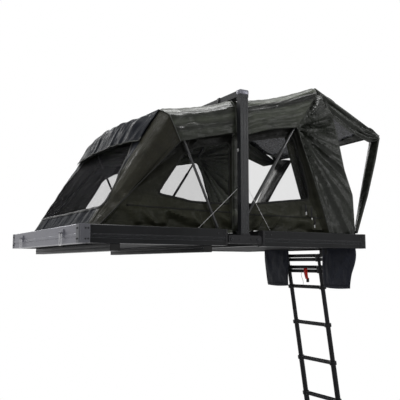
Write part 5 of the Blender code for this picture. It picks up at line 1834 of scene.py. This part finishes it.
@dataclass
class Stays:
    """The elastic stays between the posts' feet and the shells, and the hooks on the posts."""

    wardrobe: Wardrobe

    def build(self) -> None:
        """Builds the stays as straight tubes, and the spine's own hooks."""
        for side in Side:
            y = side.value * 0.64
            post_y = side.value * 0.668
            for name, body, start, end in (("base_stay_", "base_half", (-0.031, post_y, 0.36), (-0.3, y, 0.106)),
                                           ("fold_stay_", "fold_half", (0.031, post_y, 0.385), (0.24, y, 0.106))):
                one, two = Vector(start), Vector(end)
                points = [tuple(one.lerp(two, step / 24)) for step in range(25)]
                stay = tube(name + side.word, points, 0.0013, self.wardrobe.steel)
                sign = -1.0 if body == "base_half" else 1.0
                hinge_in, hinge_out = DATUM.world((sign * 0.06, y, 0.0)), DATUM.world((sign * 0.2, y, 0.0))
                if body == "base_half":
                    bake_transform(stay)
                else:
                    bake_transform(stay)
                log.info("made %s", stay.name)
        bm = bmesh.new()
        for side in Side:
            y = side.value * 0.672
            for x, z in ((-0.031, 0.6), (0.031, 0.6), (-0.031, 0.362), (0.031, 0.387)):
                start = len(bm.faces)
                out = math.copysign(0.001, x)
                add_box(bm, (x, y - 0.006, z - 0.01), (x + out * 3, y + 0.006, z + 0.01), 0.001)
                add_rod(bm, (x + out * 2, y, z), (x + out * 12, y, z), 0.0038)
                # The upper hook on the base side of each post is painted white: a painted reflection standing for a
                # silver hook's glint.
                paint(bm, start, int(x < 0.0 and z > 0.5))
        hooks = finish_piece("post_hooks", bm, [self.wardrobe.rung, self.wardrobe.pull])
        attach(hooks, "spine")
        log.info("made %s", hooks.name)


# Metalwork


@dataclass
class ShellTrim:
    """Seals, screws and caps on the two shells and the mounting rails."""

    wardrobe: Wardrobe

    def build(self) -> None:
        """Builds the trim of both shells."""
        for prefix, sign, body in (("base", -1.0, "base_half"), ("fold", 1.0, "fold_half")):
            bm = bmesh.new()
            for side in Side:
                y = side.value
                for x in (sign * 1.03, sign * 1.015):
                    for z in (0.022, 0.078):
                        add_bolt(bm, (x, y * 0.7015, z), (0, y, 0), 0.0048)
                for y_at in (0.665, 0.652):
                    for z in (0.022, 0.078):
                        add_bolt(bm, (sign * 1.0615, y * y_at, z), (sign, 0, 0), 0.0048)
                for x in (0.2, 0.155):
                    add_bolt(bm, (sign * x, y * 0.7, 0.074), (0, y, 0), 0.0042)
            bolts = finish_piece(prefix + "_shell_screws", bm, [self.wardrobe.rung], 30.0)
            tubes = []
            for side in Side:
                points = [(sign * (0.137 + 0.86 * step / 40), side.value * 0.6585, 0.0985) for step in range(41)]
                tubes.append(tube(prefix + "_seal_" + side.word, points, 0.0042, self.wardrobe.rubber))
            seal = join_pieces(prefix + "_rim_seal", tubes)
            bm = bmesh.new()
            for side in Side:
                y = side.value
                add_box(bm, (sign * 0.1335, y * 0.6595, 0.002), (sign * 0.15, y * 0.7022, 0.1005), 0.002)
            caps = finish_piece(prefix + "_rail_caps", bm, [self.wardrobe.bracket])
            for piece in (bolts, seal, caps):
                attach(piece, body)
                log.info("made %s", piece.name)
        bm = bmesh.new()
        for name in ("mounting_rail_inner", "mounting_rail_outer"):
            low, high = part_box(name)
            for side in Side:
                edge = side.value * high.y
                add_box(bm, (low.x - DATUM.x + 0.001, edge, low.z - DATUM.z + 0.001),
                        (high.x - DATUM.x - 0.001, edge + side.value * 0.005, high.z - DATUM.z - 0.001), 0.0015)
        caps = finish_piece("mounting_rail_caps", bm, [self.wardrobe.rubber])
        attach(caps, "base_half")
        log.info("made %s", caps.name)


@dataclass
class SpineTrim:
    """Covers, bolts and caps on the hinge brackets and the square hoop."""

    wardrobe: Wardrobe

    def build(self) -> None:
        """Builds the trim of the spine."""
        bm = bmesh.new()
        for side in Side:
            y = side.value
            for x in (-0.1, 0.1):
                add_rod(bm, (x, y * 0.699, 0.04), (x, y * 0.7035, 0.04), 0.0125, 0.0115, 24)
                add_bolt(bm, (x, y * 0.703, 0.04), (0, y, 0), 0.007, 0.003)
            for x in (-0.045, 0.045):
                add_bolt(bm, (x, y * 0.7, 0.04), (0, y, 0), 0.0055, 0.003)
            for x in (-0.018, 0.018):
                add_bolt(bm, (x, y * 0.701, 0.955), (0, y, 0), 0.0038, 0.002)
                add_bolt(bm, (x, y * 0.672, 0.986), (0, 0, 1), 0.0038, 0.002)
        bolts = finish_piece("spine_bolts", bm, [self.wardrobe.rung], 30.0)
        bm = bmesh.new()
        for side in Side:
            y = side.value
            add_box(bm, (-0.036, y * 0.664, 0.066), (0.036, y * 0.7025, 0.078), 0.003)
        shoes = finish_piece("post_shoes", bm, [self.wardrobe.bracket])
        bm = bmesh.new()
        for side in Side:
            y = side.value
            add_box(bm, (-0.035, y * 0.658, 0.954), (0.035, y * 0.7035, 0.9885), 0.009)
        caps = finish_piece("hoop_corner_caps", bm, [self.wardrobe.end_metal])
        for piece in (bolts, shoes, caps):
            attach(piece, "spine")
            log.info("made %s", piece.name)


@dataclass
class LadderTrim:
    """Release buttons, tread ribs and the red tie of the ladder."""

    wardrobe: Wardrobe
    lean: float = math.radians(8.9)
    top: Point = (1.005, -0.087, -0.045)
    half: float = 0.18
    stations: Sequence[float] = (0.0, 0.03, 0.09, 0.12, 0.245, 0.535, 0.825, 1.115, 1.405)

    def along(self, station: float, y: float, out: float = 0.0) -> Vector:
        """A tent point on the ladder.

        Args:
            station: metres down the rails from the hinge.
            y: place across from the ladder's middle.
            out: metres in front of the rails' middle plane.

        Returns:
            The point.
        """
        down = Vector((math.sin(self.lean), 0.0, -math.cos(self.lean)))
        front = Vector((math.cos(self.lean), 0.0, math.sin(self.lean)))
        return Vector(self.top) + down * station + front * out + Vector((0.0, y, 0.0))

    def section(self, number: int, station: float) -> None:
        """Builds one section's buttons and ribs.

        Args:
            number: the section's.
            station: its rung's place in metres down the rails.
        """
        bm = bmesh.new()
        for side in (-1, 1):
            y = side * (self.half - 0.0265) - side * 0.006
            add_rod(bm, self.along(station, y, -0.012), self.along(station, y, -0.0235), 0.0058, 0.005)
        for step in range(5):
            out = -0.0115 + step * 0.00575
            ends = [self.along(station - 0.0112, y, out) for y in (-self.half + 0.034, self.half - 0.034)]
            add_rod(bm, *ends, 0.0013, sides=8)
        trim = finish_piece("ladder_trim_%d" % number, bm, [self.wardrobe.rubber])
        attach(trim, "ladder_%d" % number)
        log.info("made %s", trim.name)

    def tie(self) -> None:
        """Builds the red tie strap with its buckle and the small cord beside it."""
        y = -0.045
        line = Rib([self.along(0.094, y, -0.024), self.along(0.12, y + 0.002, -0.0265),
                    self.along(0.15, y + 0.003, -0.025), self.along(0.178, y + 0.001, -0.0235)])
        bm = bmesh.new()
        made = bmesh.ops.create_grid(bm, x_segments=1, y_segments=24, size=0.5)["verts"]
        for vert in made:
            across, share = vert.co.x, vert.co.y + 0.5
            aside = Vector((-0.002 * abs(across), across * (0.037 + 0.004 * math.sin(share * 5.0)), 0.0))
            vert.co = line.at(share) + aside
        strap = finish_piece("ladder_red_strap", bm, [self.wardrobe.red])
        thicken(strap, 0.0022, 0.0)
        bm = bmesh.new()
        low, high = self.along(0.205, y, -0.0245), self.along(0.172, y, -0.0135)
        middle = y + self.top[1]
        add_box(bm, (min(low.x, high.x) - 0.004, middle - 0.011, low.z),
                (max(low.x, high.x) + 0.004, middle + 0.011, high.z), 0.003)
        buckle = finish_piece("ladder_buckle", bm, [self.wardrobe.rubber])
        cord = [tuple(self.along(0.125 + 0.1 * step / 20, 0.012 + 0.006 * math.sin(step / 3.0),
                                 -0.0195 - 0.004 * math.sin(math.pi * step / 20))) for step in range(21)]
        string = tube("ladder_pull_string", cord, 0.0014, self.wardrobe.strap)
        for piece in (strap, buckle, string):
            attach(piece, "ladder_4")
            log.info("made %s", piece.name)

    def build(self) -> None:
        """Builds the trim of every section."""
        for number, station in enumerate(self.stations, 1):
            self.section(number, station)
        self.tie()


def dress_nodes(wardrobe: Wardrobe) -> None:
    """Gives every carried-over CAD node its finish.

    Args:
        wardrobe: the finishes.
    """
    finishes = {
        "side_rail": wardrobe.shell, "end_rail": wardrobe.end_metal, "_corner_": wardrobe.corner,
        "inner_rail": wardrobe.shell, "_floor": wardrobe.board, "mounting_rail": wardrobe.shell,
        "spine_bracket": wardrobe.bracket, "spine_beam": wardrobe.shell, "hinge_pin": wardrobe.steel,
        "hoop_": wardrobe.post, "base_pole": wardrobe.pole, "support_tube": wardrobe.pole,
        "support_pole": wardrobe.pole, "ladder_section": wardrobe.rung, "ladder_bracket": wardrobe.shell,
        "latch_": wardrobe.steel,
    }
    for name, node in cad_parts.items():
        finish = next((value for key, value in finishes.items() if key in name), None)
        if name == "fold_end_rail" or name.startswith("fold_corner"):
            finish = wardrobe.shell
        if finish is None:
            continue
        if not node.material_slots:
            node.data.materials.append(finish)
        for slot in node.material_slots:
            slot.material = finish
    log.info("dressed %d nodes", len(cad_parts))


# Studio


@dataclass(frozen=True)
class Studio:
    """The pale floor, the soft lights, the white surround and the camera."""

    camera_at: Point = (-1.833, -3.574, -0.069)
    camera_turn: Point = (96.318, -0.053, -31.694)
    lens: float = 51.94
    floor_reach: float = 40.0

    def lamp(self, name: str, at: Point, aim: Point, size: Flat, power: float) -> None:
        """Adds a soft rectangular light.

        Args:
            name: its name.
            at: its place.
            aim: the point it faces.
            size: its sides.
            power: in watts.
        """
        light = bpy.data.lights.new(name, "AREA")
        light.shape = "RECTANGLE"
        light.size, light.size_y = size
        light.energy = power
        lamp = linked(name, light)
        lamp.location = at
        lamp.rotation_mode = "QUATERNION"
        lamp.rotation_quaternion = (Vector(aim) - Vector(at)).to_track_quat("-Z", "Y")

    def world(self) -> None:
        """White where the camera, gloss or glass looks, and a soft grey light otherwise."""
        world = bpy.data.worlds.new("studio_world")
        bpy.context.scene.world = world
        world.use_nodes = True
        tree = world.node_tree
        tree.nodes.clear()
        output = tree.nodes.new("ShaderNodeOutputWorld")
        blend = tree.nodes.new("ShaderNodeMixShader")
        for slot, strength in ((1, 0.28), (2, 1.0)):
            glow = tree.nodes.new("ShaderNodeBackground")
            glow.inputs["Color"].default_value = (1.0, 1.0, 1.0, 1.0)
            glow.inputs["Strength"].default_value = strength
            tree.links.new(glow.outputs[0], blend.inputs[slot])
        path = tree.nodes.new("ShaderNodeLightPath")
        seen = path.outputs["Is Camera Ray"]
        for ray in ("Is Glossy Ray", "Is Transmission Ray"):
            either = tree.nodes.new("ShaderNodeMath")
            either.operation = "MAXIMUM"
            tree.links.new(seen, either.inputs[0])
            tree.links.new(path.outputs[ray], either.inputs[1])
            seen = either.outputs[0]
        tree.links.new(seen, blend.inputs["Fac"])
        tree.links.new(blend.outputs[0], output.inputs["Surface"])

    def floor(self) -> None:
        """Lays the floor under the ladder's feet."""
        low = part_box("ladder_section_9")[0].z
        bm = bmesh.new()
        bmesh.ops.create_circle(bm, cap_ends=True, segments=96, radius=self.floor_reach)
        mesh = bpy.data.meshes.new("studio_floor")
        bm.to_mesh(mesh)
        bm.free()
        mesh.transform(Matrix.Translation((0.27, 0.0, low - 0.001)))
        mesh.materials.append(PaleGround().build())
        ground = linked("studio_floor", mesh)

    def camera(self) -> None:
        """Sets the camera at the photograph's viewing angle."""
        data = bpy.data.cameras.new("photo_camera")
        data.lens = self.lens
        data.sensor_width = 36.0
        data.clip_start, data.clip_end = 0.05, 200.0
        camera = linked("photo_camera", data)
        camera.location = self.camera_at
        camera.rotation_euler = tuple(math.radians(angle) for angle in self.camera_turn)
        bpy.context.scene.camera = camera

    def build(self) -> None:
        """Builds the studio."""
        self.camera()
        self.world()
        self.floor()
        centre = (0.3, 0.0, 0.4)
        self.lamp("overhead", (0.4, 0.2, 4.4), centre, (3.2, 0.9), 225.0)
        self.lamp("front_left", (-4.2, -3.8, 2.6), centre, (1.3, 1.3), 80.0)
        self.lamp("front_right", (3.6, -4.2, 1.8), centre, (1.0, 1.4), 55.0)
        self.lamp("back", (0.6, 4.6, 2.8), centre, (3.4, 0.8), 120.0)
        bpy.context.scene.view_settings.view_transform = "Standard"
        log.info("lit the studio")


def main() -> None:
    """Builds the studio and every piece."""
    logging.basicConfig(level=logging.INFO, format="%(message)s")
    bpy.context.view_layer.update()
    Studio().build()
    wardrobe = Wardrobe()
    dress_nodes(wardrobe)
    for group in (BaseCanopy, SpineCloth, FoldCanopy, BootBags, Mattresses, Stays, ShellTrim, SpineTrim, LadderTrim):
        group(wardrobe).build()


if __name__ == "__main__":
    main()
